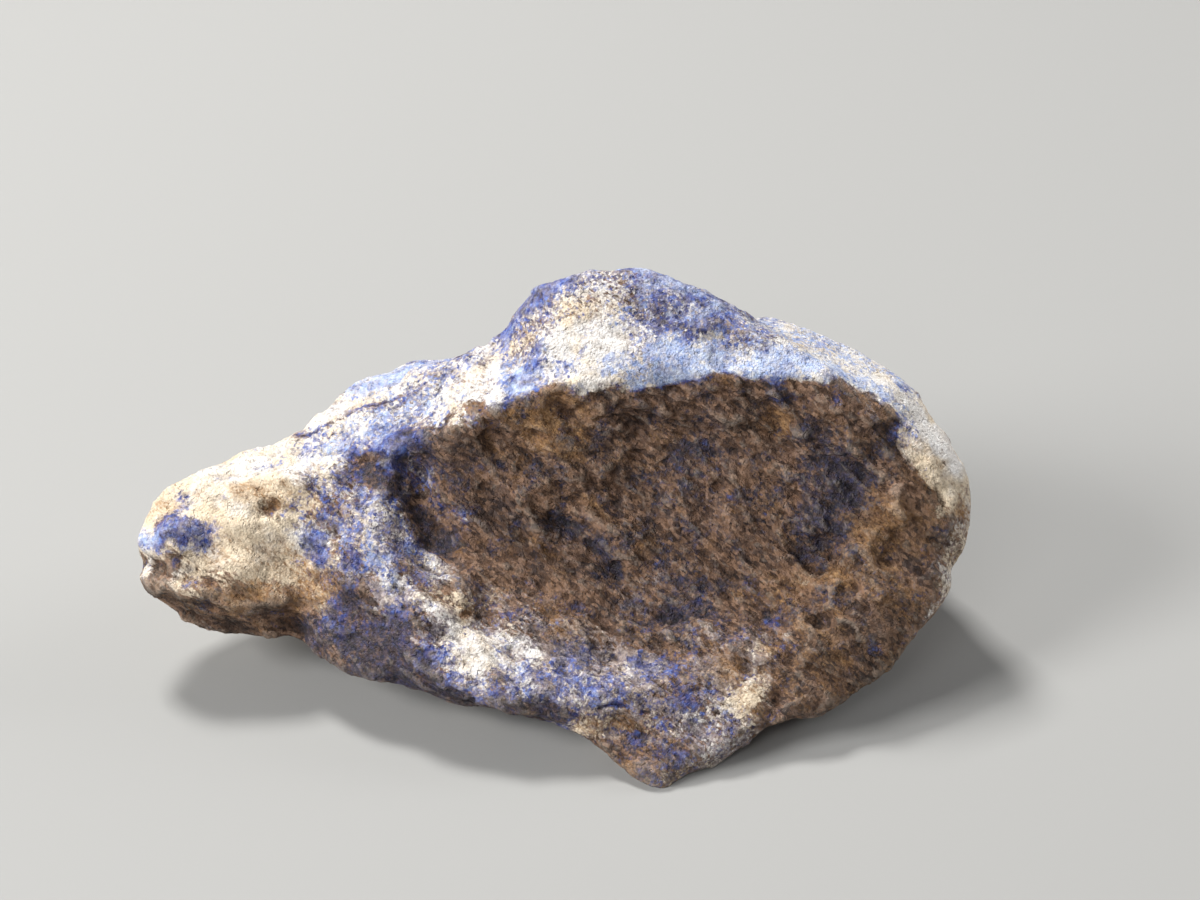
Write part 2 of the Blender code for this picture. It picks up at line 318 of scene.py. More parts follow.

# The markings are laid in this order, so a later one covers an earlier one. Some are painted shade or painted
# highlight as well as minerals, as the comments above them say.
MARKINGS = (
    Marking("hollow", Dress.BROWN_HOLLOW, HOLLOW, edge=0.25),
    Marking("hollow_left", Dress.BROWN_HOLLOW, HOLLOW_LEFT, edge=0.3),
    Marking("hollow_middle", Dress.BROWN_HOLLOW, Spot((8.5, -2.8, 14.5), (14.5, 3.4, 7.0))),
    Marking("hollow_right", Dress.BROWN_HOLLOW, Spot((23.6, -2.0, 16.0), (5.5, 4.1, 6.5)), edge=0.10),
    Marking("hollow_right_low", Dress.BROWN_HOLLOW, Spot((24.6, -4.6, 12.0), (4.8, 4.0, 4.6)), edge=0.10),
    Marking("facet_shade", Dress.DEEP_BROWN, Spot((22.0, -8.8, 7.6), (5.4, 2.6, 2.6)), 0.9),
    Marking("neck_recess", Dress.BROWN_HOLLOW, NECK_RECESS, 0.95, edge=0.4),
    Marking("hollow_join", Dress.BROWN_HOLLOW, Line(1.5, ((-3.2, 0.4, 20.4), (-2.6, -1.2, 16.4),
        (-1.8, -2.8, 12.8), (-1.0, -4.8, 10.0)))),
    Marking("shelf_top", Dress.LILAC, Spot((4.0, -12.9, 5.3), (11.5, 5.0, 3.6))),
    Marking("shelf_left", Dress.LAVENDER, Spot((-6.0, -10.6, 8.0), (4.6, 3.6, 2.6)), 0.9),
    Marking("neck_slope", Dress.MOTTLED, Spot((-10.4, -6.6, 11.2), (2.4, 2.6, 2.4)), 0.9),
    Marking("neck_top", Dress.LAVENDER, Spot((-16.4, 2.4, 17.0), (4.6, 2.6, 1.6)), 0.9),
    Marking("neck_left", Dress.GREY_BLUE, Spot((-17.5, -2.6, 13.4), (2.3, 2.6, 2.8)), 0.92),
    Marking("snout_face", Dress.CREAM, Spot((-23.4, -3.8, 12.0), (4.6, 2.8, 2.8)), 0.97),
    # summit
    Marking("summit_left_edge", Dress.DEEP_BLUE, Line(1.0, ((-3.3, 7.2, 24.4), (-2.5, 7.6, 26.0),
        (-1.1, 7.4, 27.3), (0.4, 7.9, 28.3)))),
    Marking("summit_top_left", Dress.COBALT, Spot((-0.2, 6.6, 27.8), (1.3, 1.6, 0.9)), 0.6),
    Marking("summit_crest", Dress.AZURE, Line(0.8, ((3.4, 8.6, 29.5), (7.4, 7.9, 29.6), (10.6, 6.4, 28.8),
        (13.0, 5.6, 27.6)))),
    Marking("summit_top", Dress.FAWN_SPECKS, Spot((2.9, 5.2, 27.9), (3.4, 2.8, 2.0)), 0.95),
    Marking("summit_deep_blue", Dress.COBALT, Spot((7.4, 4.2, 27.0), (1.5, 1.1, 0.7)), 0.6),
    Marking("summit_white", Dress.WHITE, Spot((2.4, 2.8, 25.6), (3.6, 2.6, 2.3))),
    Marking("summit_right_blue", Dress.COBALT, Line(1.3, ((10.8, 4.6, 27.6), (13.4, 3.4, 26.4),
        (15.6, 2.8, 25.8))), 0.4),
    Marking("summit_olive", Dress.OLIVE, Spot((-1.6, 5.6, 25.4), (1.6, 2.0, 2.2)), 0.9),
    Marking("summit_streak", Dress.WHITE, Line(0.4, ((6.2, 3.8, 27.0), (7.6, 3.0, 25.9), (10.6, 3.0, 25.4),
        (12.2, 3.6, 26.0))), 0.7),
    Marking("rim_band", Dress.SKY_BLUE, Line(1.5, RIM_BAND), edge=0.35),
    Marking("rim_blue", Dress.COBALT, Line(0.6, ((6.2, 2.6, 25.6), (9.6, 2.6, 25.6))), 0.4),
    Marking("summit_right_tip", Dress.SPECKLED, Spot((14.8, 3.2, 26.2), (2.0, 1.4, 1.2)), 0.9),
    Marking("rim_rust", Dress.RUSTY_CRUST, Line(1.2, ((-3.4, 0.2, 21.0), (0.4, 0.4, 22.4), (4.4, 0.6, 22.8))),
        0.8),
    Marking("rim_white", Dress.WHITE, Line(0.7, ((0.4, 1.2, 23.2), (2.6, 1.3, 24.0), (5.0, 1.3, 24.3))), 0.8),
    # strip between the hollow and the back ledge
    Marking("strip_specks", Dress.SPECKLED, Line(1.5, ((-14.6, 4.6, 18.4), (-10.4, 4.4, 20.0),
        (-8.6, 4.6, 20.9))), 0.4),
    Marking("strip_cream", Dress.PALE_CREAM, Spot((-5.6, 4.2, 22.4), (3.6, 2.6, 1.9)), 0.95),
    Marking("strip_blue", Dress.AZURE, Spot((-2.6, 2.2, 23.0), (1.9, 1.8, 1.5)), 0.95),
    Marking("strip_bright_blue", Dress.VIVID_BLUE, Spot((-3.6, 0.9, 22.0), (1.0, 0.8, 0.6))),
    Marking("strip_upright_blue", Dress.COBALT, Line(0.5, ((-1.2, 2.2, 23.0), (-0.8, 4.0, 25.0))), 0.8),
    Marking("strip_low", Dress.SKY_BLUE, Line(1.1, ((-16.6, 2.6, 17.2), (-13.6, 2.4, 18.5),
        (-10.6, 2.0, 19.8))), 0.45),
    Marking("ledge_white", Dress.PALE_CREAM, Line(1.7, ((-18.4, 6.8, 16.6), (-15.0, 7.2, 17.6),
        (-11.6, 7.2, 19.2))), 0.9),
    Marking("ledge_blue", Dress.SKY_BLUE, Line(1.6, ((-15.2, 10.0, 17.7), (-12.3, 10.2, 18.3),
        (-10.2, 10.4, 18.8)))),
    # navy specks and painted shade: a dark line along the crest between the strip and the back ledge
    Marking("ledge_line", Dress.NAVY, LEDGE_LINE, 0.7),
    Marking("rim_brown_left", Dress.BROWN_HOLLOW, Line(0.7, ((-9.6, 1.0, 18.7), (-7.6, 1.1, 20.0),
        (-5.2, 1.2, 21.2))), 0.9),
    # right edge
    Marking("right_edge_blue", Dress.SKY_BLUE, Spot((26.0, 2.8, 21.4), (2.6, 1.6, 1.2)), 0.9),
    # pale stone and painted highlight: white along the right shoulder, which the lamps light only dimly
    Marking("right_shoulder_pale_and_highlight", Dress.WHITE, Line(1.2, RIGHT_SHOULDER)),
    Marking("right_brow", Dress.CREAM, Line(1.15, ((27.6, 0.4, 19.2), (28.9, -0.9, 17.0),
        (29.8, -2.0, 14.8))), 0.85),
    Marking("corner_brown", Dress.MAUVE_CRUST, Line(1.15, ((21.4, 0.6, 23.3), (23.7, 0.6, 22.2),
        (25.3, 0.3, 20.8), (26.4, -0.2, 19.6))), edge=0.25),
    Marking("right_edge_azure", Dress.AZURE, Spot((27.2, 3.6, 21.4), (1.2, 1.3, 0.9)), 0.9),
    # snout
    Marking("snout_top", Dress.WHITE, Spot((-25.5, 1.6, 15.2), (6.0, 2.4, 1.4)), 0.8),
    Marking("snout_navy", Dress.DEEP_BLUE, Spot((-29.0, -3.6, 12.8), (2.6, 1.9, 1.4))),
    Marking("snout_blue", Dress.VIVID_BLUE, Spot((-30.5, -3.3, 12.1), (0.9, 1.1, 0.9)), 0.9),
    Marking("snout_stroke", Dress.VIVID_BLUE, Line(0.4, ((-27.5, -2.4, 13.7), (-26.7, -1.4, 14.2))), 0.8),
    Marking("tip_pale", Dress.SKY_BLUE, Spot((-31.4, -2.9, 11.3), (0.9, 1.3, 0.9)), 0.9),
    # painted shade: a navy line where the crease at the snout's tip lies in shade
    Marking("snout_crease_shade", Dress.NAVY, SNOUT_CREASE_SHADE, 0.7),
    Marking("dark_spot", Dress.NAVY, Spot((-26.6, -5.6, 9.9), (0.55, 0.6, 0.55))),
    Marking("snout_brown_a", Dress.OCHRE, Spot((-21.8, -1.8, 14.2), (1.4, 1.1, 0.8)), 0.9),
    Marking("snout_dent", Dress.RUSTY_CRUST, Spot((-22.3, -1.9, 14.1), (1.2, 1.0, 0.7)), 0.45),
    Marking("snout_brown_b", Dress.OCHRE, Spot((-24.5, -0.7, 14.8), (0.9, 0.8, 0.4)), 0.6),
    Marking("snout_brown_c", Dress.OCHRE, Spot((-20.7, -0.6, 15.2), (0.6, 0.6, 0.5)), 0.7),
    Marking("snout_brown_d", Dress.OCHRE, Spot((-25.6, -2.9, 13.1), (0.9, 0.8, 0.6)), 0.5),
    Marking("snout_low_edge", Dress.OCHRE, Line(0.9, ((-28.0, -5.4, 9.8), (-24.6, -5.6, 9.3),
        (-21.4, -5.6, 8.5), (-18.4, -6.0, 8.0))), 0.85),
    Marking("snout_side", Dress.OCHRE, Spot((-18.7, -5.6, 9.0), (1.5, 1.7, 2.2)), 0.85),
    # painted shade: dark brown on the underside of the overhanging snout
    Marking("snout_under_shade", Dress.DEEP_BROWN, Line(2.9, ((-31.0, -4.8, 7.4), (-28.2, -5.9, 6.6),
        (-24.8, -6.2, 5.6), (-20.4, -6.2, 4.4)))),
    Marking("tip_stone", Dress.PALE_CREAM, Spot((-31.6, -3.9, 9.0), (0.7, 1.0, 0.8)), 0.9),
    # neck
    Marking("neck_navy_a", Dress.DEEP_BLUE, Spot((-17.6, -3.9, 12.0), (1.5, 1.3, 1.1))),
    Marking("neck_navy_b", Dress.NAVY, Spot((-15.3, -7.5, 8.8), (2.3, 1.8, 1.9))),
    Marking("neck_navy_c", Dress.DARK_CRUST, Spot((-12.8, -9.6, 7.0), (4.2, 2.6, 2.2))),
    # navy stone and painted shade along the neck's lower face, where it turns under
    Marking("neck_under_shade", Dress.BLACK_BLUE, Line(1.5, ((-18.8, -6.6, 5.6), (-15.5, -9.6, 4.9),
        (-11.8, -11.4, 5.0), (-8.0, -13.2, 4.0)))),
    Marking("neck_navy_d", Dress.NAVY, Spot((-9.0, -11.7, 7.2), (1.0, 1.1, 1.1)), 0.9),
    Marking("neck_blue_line", Dress.VIVID_BLUE, Line(0.5, ((-16.0, 1.4, 16.8), (-13.4, 1.2, 17.9),
        (-11.5, 1.1, 18.7))), 0.8),
    Marking("neck_brown_face", Dress.DARK_CRUST, Line(1.0, ((-14.8, 0.8, 17.0), (-13.8, 0.2, 16.5),
        (-12.6, -0.7, 15.7)))),
    Marking("ledge_edge", Dress.COBALT, Line(0.5, ((-13.5, -0.1, 16.4), (-12.3, 0.5, 17.6),
        (-11.4, 1.0, 18.5), (-9.8, 0.6, 18.9))), 0.8),
    Marking("recess_shadow", Dress.BLACK_BLUE, Line(1.0, ((-14.1, -0.5, 15.9), (-13.2, -0.2, 15.9),
        (-11.8, -1.1, 14.1), (-10.6, -1.6, 12.7), (-9.4, -2.3, 11.8), (-8.0, -3.2, 11.1))), 0.9),
    Marking("neck_edge", Dress.LAVENDER, Line(1.2, ((-13.5, -1.9, 14.8), (-12.6, -2.9, 13.5),
        (-11.5, -3.9, 12.2), (-10.2, -4.7, 11.2), (-8.6, -5.4, 10.6))), 0.85),
    Marking("ledge_inside", Dress.BLACK_BLUE, Spot((-10.4, 0.8, 16.8), (2.2, 1.8, 1.9)), 0.95),
    Marking("ledge_inside_blue", Dress.DEEP_BLUE, Line(0.7, ((-13.0, 0.1, 16.7), (-12.2, 0.6, 17.6),
        (-11.3, 0.9, 18.1)))),
    # painted shade: the deep upper corner of the neck recess
    Marking("recess_corner_shade", Dress.BLACK_BLUE, Spot((-12.8, -0.8, 15.5), (1.1, 0.9, 1.1))),
    Marking("recess_grey", Dress.GREY_BLUE, Line(1.1, ((-11.2, 0.9, 16.0), (-10.0, 0.2, 14.5),
        (-8.8, -0.9, 14.0), (-7.2, -1.8, 13.3))), 0.8),
    Marking("inner_ridge", Dress.GREY_BLUE, INNER_RIDGE, 0.35),
    Marking("neck_grey", Dress.GREY_BLUE, Spot((-14.6, -1.7, 14.8), (1.8, 1.6, 1.6)), 0.8),
    Marking("neck_white", Dress.LAVENDER, Line(1.15, ((-15.0, -4.2, 12.8), (-12.9, -6.1, 11.5),
        (-11.2, -7.6, 10.4), (-9.4, -9.0, 9.4))), 0.8),
    # shelf
    Marking("neck_foot", Dress.NAVY, Spot((-11.6, -9.7, 7.8), (1.4, 1.8, 1.5)), 0.8),
    Marking("shelf_tan", Dress.TAN, Line(1.2, ((-9.0, -7.4, 10.2), (-7.0, -7.8, 9.5), (-5.2, -8.0, 8.6))),
        0.9),
    Marking("shelf_white", Dress.WHITE, Line(1.4, ((-6.4, -9.7, 8.5), (-4.6, -10.3, 7.8),
        (-1.6, -10.6, 7.1))), 0.55),
    Marking("shelf_white_low", Dress.WHITE, Line(1.0, ((-6.4, -11.6, 7.2), (-4.4, -12.0, 6.9),
        (-2.4, -12.4, 6.6))), 0.8),
    # painted shade: dark navy on the underside of the shelf's lip
    Marking("shelf_lip_shade", Dress.BLACK_BLUE, Line(1.2, ((-8.4, -13.0, 4.4), (-3.4, -14.4, 4.3),
        (0.6, -14.9, 4.2))), 0.95),
    Marking("shelf_crack", Dress.RUSTY_CRUST, SHELF_CRACK),
    Marking("shelf_thread", Dress.NAVY, SHELF_THREAD, 0.7),
    Marking("shelf_blue_a", Dress.COBALT, Spot((2.1, -9.5, 6.5), (1.6, 1.0, 0.7)), 0.7),
    Marking("shelf_blue_b", Dress.COBALT, Spot((2.1, -13.2, 6.0), (2.4, 1.2, 0.9)), 0.85),
    Marking("shelf_blue_c", Dress.COBALT, Spot((4.2, -14.2, 5.1), (1.4, 0.9, 0.8)), 0.9),
    Marking("shelf_blue_d", Dress.COBALT, Spot((7.0, -10.7, 6.2), (2.0, 1.2, 0.8)), 0.7),
    Marking("shelf_navy", Dress.NAVY, Spot((10.0, -14.2, 4.6), (1.1, 0.8, 0.7)), 0.8),
    Marking("shelf_brown", Dress.OCHRE, Spot((13.4, -11.4, 6.0), (2.0, 1.2, 0.8)), 0.45),
    Marking("shelf_rim", Dress.MAUVE_CRUST, Line(1.6, ((-4.6, -7.4, 8.4), (2.2, -7.9, 7.2), (9.0, -8.7, 6.8),
        (14.4, -8.6, 7.4))), 0.75),
    # painted shade: a navy line in the small step on the toe
    Marking("step_line", Dress.NAVY, STEP_LINE, 0.9),
    Marking("ochre_band", Dress.OCHRE, Line(0.7, ((2.4, -15.3, 3.7), (5.7, -15.4, 3.1), (8.4, -15.7, 2.7))),
        0.8),
    # painted shade: dark crust low on the toe's front, near the floor
    Marking("toe_under_shade", Dress.DARK_CRUST, Spot((4.6, -16.8, 1.4), (3.6, 1.8, 1.4))),
    Marking("toe_shade", Dress.NAVY, Spot((8.4, -16.2, 2.4), (4.0, 1.8, 1.5)), 0.45),
    Marking("rib", Dress.ROSY, Line(1.3, RIB), 0.95),
    Marking("rib_foot", Dress.WHITE, Spot((14.0, -13.6, 4.2), (1.4, 1.0, 0.9)), 0.5),
    Marking("rib_ochre", Dress.OCHRE, Spot((16.8, -10.2, 6.9), (0.8, 0.8, 0.8)), 0.8),
    Marking("rib_blue", Dress.VIVID_BLUE, Spot((16.4, -8.2, 8.0), (0.55, 0.5, 0.45))),
    # hollow
    # navy stone and painted shade in the groove carved along the dark band
    Marking("dark_band", Dress.BLACK_BLUE, Line(1.5, BAND), 0.65),
    Marking("dark_band_top_shade", Dress.BLACK_BLUE, Spot((22.9, -1.9, 16.2), (2.0, 1.8, 2.0)), 0.85),
    Marking("dark_top", Dress.BLACK_BLUE, Spot((18.9, 0.1, 19.9), (1.9, 1.2, 1.0)), 0.7),
    Marking("dark_left", Dress.BLACK_BLUE, Spot((-7.0, -0.8, 15.4), (1.6, 1.4, 2.4)), 0.5),
    # painted shade in the slanted groove and at its foot
    Marking("slanted_groove", Dress.BLACK_BLUE, Line(1.2, SLANT), 0.4),
    Marking("groove_foot_shade", Dress.BLACK_BLUE, Line(1.0, ((2.2, -2.4, 12.1), (3.6, -3.3, 11.0),
        (4.7, -4.5, 9.9))), 0.8),
    Marking("dark_middle", Dress.BLACK_BLUE, Spot((12.4, 0.4, 18.0), (1.6, 1.2, 0.7)), 0.5),
    Marking("dark_low", Dress.BLACK_BLUE, Spot((9.7, -5.5, 9.1), (1.6, 1.1, 1.2)), 0.75),
    # painted shade in the pit at the hollow's bottom
    Marking("hollow_pit", Dress.BLACK_BLUE, HOLLOW_PIT_SHADE, 0.9),
    Marking("rust_top_left", Dress.RUSTY_CRUST, Spot((-0.6, 0.2, 19.4), (2.4, 1.2, 2.0)), 0.85),
    Marking("ochre_top_left", Dress.OCHRE, Spot((-1.2, 0.3, 19.4), (1.2, 0.8, 0.9)), 0.45),
    Marking("rust_top", Dress.RUSTY_CRUST, Spot((16.8, 0.5, 20.0), (1.6, 1.2, 1.5)), 0.95),
    Marking("ochre_top", Dress.OCHRE, Spot((16.8, 0.5, 19.6), (0.9, 0.7, 0.7)), 0.5),
    Marking("top_swirl", Dress.GREY_BLUE, Line(0.5, ((16.6, 0.5, 22.4), (18.4, 0.4, 23.0),
        (20.4, 0.4, 22.4))), 0.5),
    Marking("rust_speck", Dress.OCHRE, Spot((17.0, -0.8, 16.6), (0.7, 0.8, 0.5)), 0.8),
    Marking("rust_right", Dress.RUSTY_CRUST, Spot((26.0, -3.8, 13.6), (3.6, 3.4, 3.6)), 0.95),
    Marking("rust_low", Dress.RUSTY_CRUST, Spot((20.4, -6.0, 10.4), (2.8, 1.6, 1.0)), 0.9),
    Marking("ochre_low", Dress.OCHRE, Spot((19.3, -6.2, 9.9), (1.0, 0.9, 0.6)), 0.6),
    Marking("ochre_right", Dress.OCHRE, Spot((25.9, -3.0, 15.4), (1.6, 1.4, 1.6)), 0.3),
    Marking("corner_dark", Dress.DEEP_BROWN, Spot((26.0, -0.1, 19.9), (1.3, 1.0, 1.2)), 0.7),
    Marking("mound_mauve", Dress.MAUVE_CRUST, Spot((11.1, -1.5, 14.0), (2.8, 1.4, 1.2)), 0.65),
    Marking("low_tan", Dress.TAN, Line(1.3, ((-4.6, -6.4, 9.2), (-0.6, -7.6, 7.9), (3.4, -8.2, 7.2))), 0.45),
    Marking("rust_centre", Dress.RUSTY_CRUST, Spot((7.4, -3.2, 11.2), (1.8, 1.0, 0.7)), 0.7),
    Marking("fawn_low", Dress.TAN, Spot((6.8, -5.2, 9.4), (2.0, 1.0, 0.7)), 0.35),
    # right end
    Marking("right_ochre", Dress.OCHRE, Spot((30.9, -1.9, 14.4), (0.8, 0.9, 0.7)), 0.95),
    Marking("right_navy", Dress.NAVY, Spot((30.1, -3.1, 12.9), (1.0, 1.3, 1.8)), 0.75),
    Marking("right_strip", Dress.ROSY, Line(0.9, ((31.9, -1.9, 13.6), (31.5, -3.1, 10.6), (29.4, -6.2, 8.0),
        (26.6, -8.6, 5.6))), 0.9),
    Marking("facet_blue_a", Dress.COBALT, Spot((24.5, -9.6, 6.8), (1.1, 0.8, 0.7)), 0.6),
    Marking("facet_blue_b", Dress.COBALT, Spot((21.9, -11.1, 5.3), (0.8, 0.6, 0.6)), 0.6),
    Marking("facet_rust", Dress.DEEP_BROWN, Spot((18.6, -11.4, 5.8), (1.8, 2.2, 1.8)), 0.8),
)

CARVINGS = (
    Carving("rim_edge", 0.16, Line(0.9, RIM)),
    Carving("hollow_pit", -0.55, Spot((9.0, -7.2, 7.9), (3.2, 1.7, 1.6))),
    Carving("pit_lip", 0.32, Line(1.2, ((5.6, -7.4, 7.4), (9.0, -8.8, 6.8), (12.8, -8.3, 7.3),
        (15.2, -7.6, 8.0)))),
    Carving("slanted_groove", -0.34, Line(1.8, SLANT)),
    Carving("groove_bank", 0.30, Line(1.4, ((2.0, -1.4, 13.6), (4.6, -2.4, 12.2), (6.2, -3.6, 10.8)))),
    Carving("short_groove", -0.35, Line(1.2, ((5.0, -0.4, 15.9), (7.6, -1.0, 14.6)))),
    Carving("upper_groove", -0.35, Line(1.2, ((10.2, 0.6, 18.7), (12.6, 0.2, 17.4)))),
    Carving("dark_band", -0.34, Line(2.3, BAND)),
    Carving("band_bank", 0.42, Line(1.7, ((18.4, 0.2, 19.0), (19.8, -1.1, 16.1), (19.9, -2.7, 13.6)))),
    Carving("right_bank", 0.40, Line(1.9, ((25.6, -1.4, 17.6), (25.8, -3.2, 14.6), (23.4, -4.9, 11.8)))),
    Carving("top_arc", 0.30, Line(0.9, ((16.6, 0.6, 22.9), (18.4, 0.4, 23.4), (20.6, 0.3, 22.6)))),
    Carving("middle_mound", 0.35, Spot((10.4, -1.6, 14.2), (2.6, 1.8, 1.8))),
    Carving("left_mound", 0.14, Spot((-2.4, -1.0, 15.4), (1.8, 1.8, 2.4))),
    Carving("low_bench", 0.32, Line(1.4, ((-3.4, -4.9, 10.2), (0.6, -5.3, 9.4), (3.0, -5.6, 9.2)))),
    Carving("low_cut", -0.28, Line(1.0, ((-3.0, -3.4, 11.4), (-0.4, -3.8, 10.8), (2.0, -4.2, 10.4)))),
    Carving("recess_top", -0.34, Line(1.9, ((-15.2, 0.6, 16.9), (-13.6, 0.0, 16.4), (-12.4, -0.8, 15.4)))),
    Carving("recess_wall", 0.50, Line(2.1, ((-13.0, -1.0, 14.7), (-12.0, -1.9, 13.4), (-10.8, -2.9, 12.2)))),
    Carving("recess_foot", 0.35, Spot((-8.9, -3.8, 11.3), (2.2, 1.8, 1.6))),
    Carving("inner_ridge", 0.32, INNER_RIDGE),
    Carving("ledge_edge", 0.30, Line(0.8, ((-13.3, 0.1, 16.6), (-12.2, 0.6, 17.7), (-11.0, 1.1, 18.7)))),
    Carving("shelf_crack", -0.22, SHELF_CRACK),
    Carving("shelf_thread", -0.12, SHELF_THREAD),
    Carving("step_line", -0.30, STEP_LINE),
    Carving("shelf_hump", 0.22, Spot((-5.2, -10.8, 8.0), (3.2, 2.2, 1.4))),
    Carving("rib_crest", 0.15, Line(1.6, RIB)),
    Carving("rib_groove", -0.30, Line(1.3, ((18.4, -9.4, 7.6), (17.6, -12.0, 5.4), (16.6, -14.0, 3.6)))),
    Carving("tip_notch", -0.45, Line(0.9, ((-30.0, -4.7, 9.8), (-31.2, -3.9, 9.9), (-32.2, -3.2, 10.0)))),
    Carving("snout_keel", 0.65, Line(1.4, ((-30.0, -4.9, 9.2), (-27.4, -5.7, 8.9), (-24.4, -6.0, 8.4),
        (-20.8, -6.0, 7.8)))),
    Carving("snout_undercut", -0.85, Line(2.3, ((-30.4, -5.0, 6.8), (-27.6, -6.0, 6.0), (-24.0, -6.2, 5.2),
        (-20.4, -6.1, 4.8)))),
    Carving("lip_keel", 0.30, Line(1.2, ((-10.8, -11.4, 6.6), (-6.4, -13.2, 5.6), (-1.6, -14.6, 5.2)))),
    Carving("lip_undercut", -0.45, Line(1.5, ((-12.0, -11.6, 4.2), (-7.4, -13.2, 3.6), (-1.6, -14.6, 3.2)))),
    Carving("snout_dent", -0.55, Spot((-22.0, -1.9, 14.1), (1.8, 1.3, 1.1))),
    Carving("snout_knob", 0.28, Spot((-24.2, -2.6, 13.2), (1.5, 1.3, 1.0))),
    Carving("snout_notch", -0.16, Spot((-20.4, -3.6, 12.2), (1.3, 1.1, 0.9))),
    Carving("snout_brow", 0.30, Line(1.3, ((-27.0, -0.6, 14.6), (-24.0, 0.2, 15.4), (-19.6, -0.4, 15.6)))),
    Carving("blue_knob_a", 0.35, Spot((-27.9, -3.4, 13.1), (1.2, 1.1, 0.8))),
    Carving("blue_knob_b", 0.30, Spot((-29.7, -3.6, 12.9), (1.0, 1.0, 0.8))),
    Carving("ledge_line", -0.14, LEDGE_LINE),
    Carving("neck_fold_a", 0.30, Line(0.9, ((-15.6, -2.4, 14.2), (-13.4, -4.4, 12.6), (-11.6, -6.0, 11.2)))),
    Carving("neck_fold_b", -0.32, Line(0.9, ((-16.6, -3.8, 12.8), (-14.6, -5.9, 11.0), (-12.4, -7.4, 9.8)))),
    Carving("neck_fold_c", 0.30, Line(0.8, ((-12.7, -8.1, 9.4), (-9.7, -8.4, 10.0)))),
    Carving("neck_pit", -0.35, Spot((-15.4, -7.4, 9.0), (1.5, 1.2, 1.1))),
    Carving("summit_arc", -0.22, Line(0.7, ((11.2, 3.1, 25.6), (12.4, 3.5, 26.3), (13.2, 3.9, 26.9)))),
    Carving("summit_ledge", 0.20, Line(0.8, ((5.9, 4.2, 27.3), (7.6, 3.0, 25.9), (10.6, 3.0, 25.4)))),
    Carving("summit_chip", -0.25, Spot((-1.8, 5.4, 25.4), (1.4, 1.6, 1.6))),
    Carving("strip_step", -0.30, Line(0.8, ((-4.4, 1.2, 22.6), (-2.6, 1.4, 23.2), (-1.2, 2.0, 23.6)))),
    Carving("right_edge", 0.24, Line(1.0, ((27.7, 0.9, 19.6), (29.4, -0.6, 17.4), (30.4, -2.0, 14.8),
        (30.2, -3.8, 11.8)))),
    Carving("facet_hump", 0.25, Spot((23.6, -9.2, 7.4), (2.6, 1.6, 1.2))),
    Carving("facet_cut", -0.25, Line(1.0, ((19.4, -8.6, 8.2), (23.0, -8.0, 8.6), (27.0, -7.6, 8.0)))),
)


# ---------------------------------------------------------------------------
# Skin
# ---------------------------------------------------------------------------


WELD_METRES = 1e-6
FAINTEST_MARKING = 0.05

# How a noise is made up of finer and finer ones.
FRACTAL_POWER = 1.0
FRACTAL_STEP = 2.0
RIDGE_OFFSET = 1.0
RIDGE_GAIN = 2.0
RIDGE_MIDDLE = 1.0

# Ledges: steps in each unit of height, and how upright they are.
TERRACES_A_UNIT = 3.0
TERRACE_SHARPNESS = 4

# Chips: how steep and how high they are, and how their middles are turned into numbers of their own.
CHIP_SLOPE = 2.2
CHIP_STEP = 0.35
CHIP_SLOPE_DRAW = 7.31
CHIP_STEP_DRAW = 3.7


class ReliefKind(Enum):
    """Ways in which the skin is uneven."""

    BUMPS = "bumps"
    HACKLE = "hackle"
    CHIPS = "chips"
    LEDGES = "ledges"


@dataclass(frozen=True)
class Relief:
    """One layer of unevenness, drawn out along the grain of the rock."""

    kind: ReliefKind
    size: float
    height: float
    hollow_height: float
    stretch: float = 1.0
    octaves: int = 3
    seed: float = 0.0

    def heights(self, grained: np.ndarray, hollow: np.ndarray) -> np.ndarray:
        """How far the layer pushes each point out.

        Args:
            grained: an N by 3 array of places in the axes of the grain, in millimetres.
            hollow: N numbers, 1 on the broken face of the hollow and 0 off it.

        Returns:
            N heights in millimetres, around 0.
        """
        places = (grained / (self.size * self.stretch, self.size, self.size) + self.seed).tolist()
        values = np.array([self.value(place) for place in places])
        return values * (self.height + (self.hollow_height - self.height) * hollow)

    def value(self, place: list[float]) -> float:
        """How uneven the layer is at a place.

        Args:
            place: where to look, in sizes of the layer.

        Returns:
            A number around 0.
        """
        if self.kind is ReliefKind.CHIPS:
            return chip_height(place)
        if self.kind is ReliefKind.HACKLE:
            ridge = noise.ridged_multi_fractal(place, FRACTAL_POWER, FRACTAL_STEP, self.octaves,
                                               RIDGE_OFFSET, RIDGE_GAIN)
            return ridge - RIDGE_MIDDLE
        bump = noise.fractal(place, FRACTAL_POWER, FRACTAL_STEP, self.octaves)
        return terrace(bump) if self.kind is ReliefKind.LEDGES else bump


def terrace(value: float) -> float:
    """Turns a slope into steps.

    Args:
        value: a number around 0.

    Returns:
        The number, pulled towards the nearest step.
    """
    steps = value * TERRACES_A_UNIT
    whole = math.floor(steps)
    part = steps - whole
    sharp = part**TERRACE_SHARPNESS / (part**TERRACE_SHARPNESS + (1.0 - part) ** TERRACE_SHARPNESS)
    return (whole + sharp) / TERRACES_A_UNIT


def chip_height(place: list[float]) -> float:
    """The height of a small flat face, tilted its own way, at a place.

    Args:
        place: where to look, in chip widths.

    Returns:
        A height from -1 to 1.
    """
    centre = noise.voronoi(place)[1][0]
    tilt = noise.noise_vector(centre * CHIP_SLOPE_DRAW)
    slope = CHIP_SLOPE * tilt.dot(Vector(place) - centre)
    return max(-1.0, min(1.0, slope + CHIP_STEP * noise.noise(centre * CHIP_STEP_DRAW)))


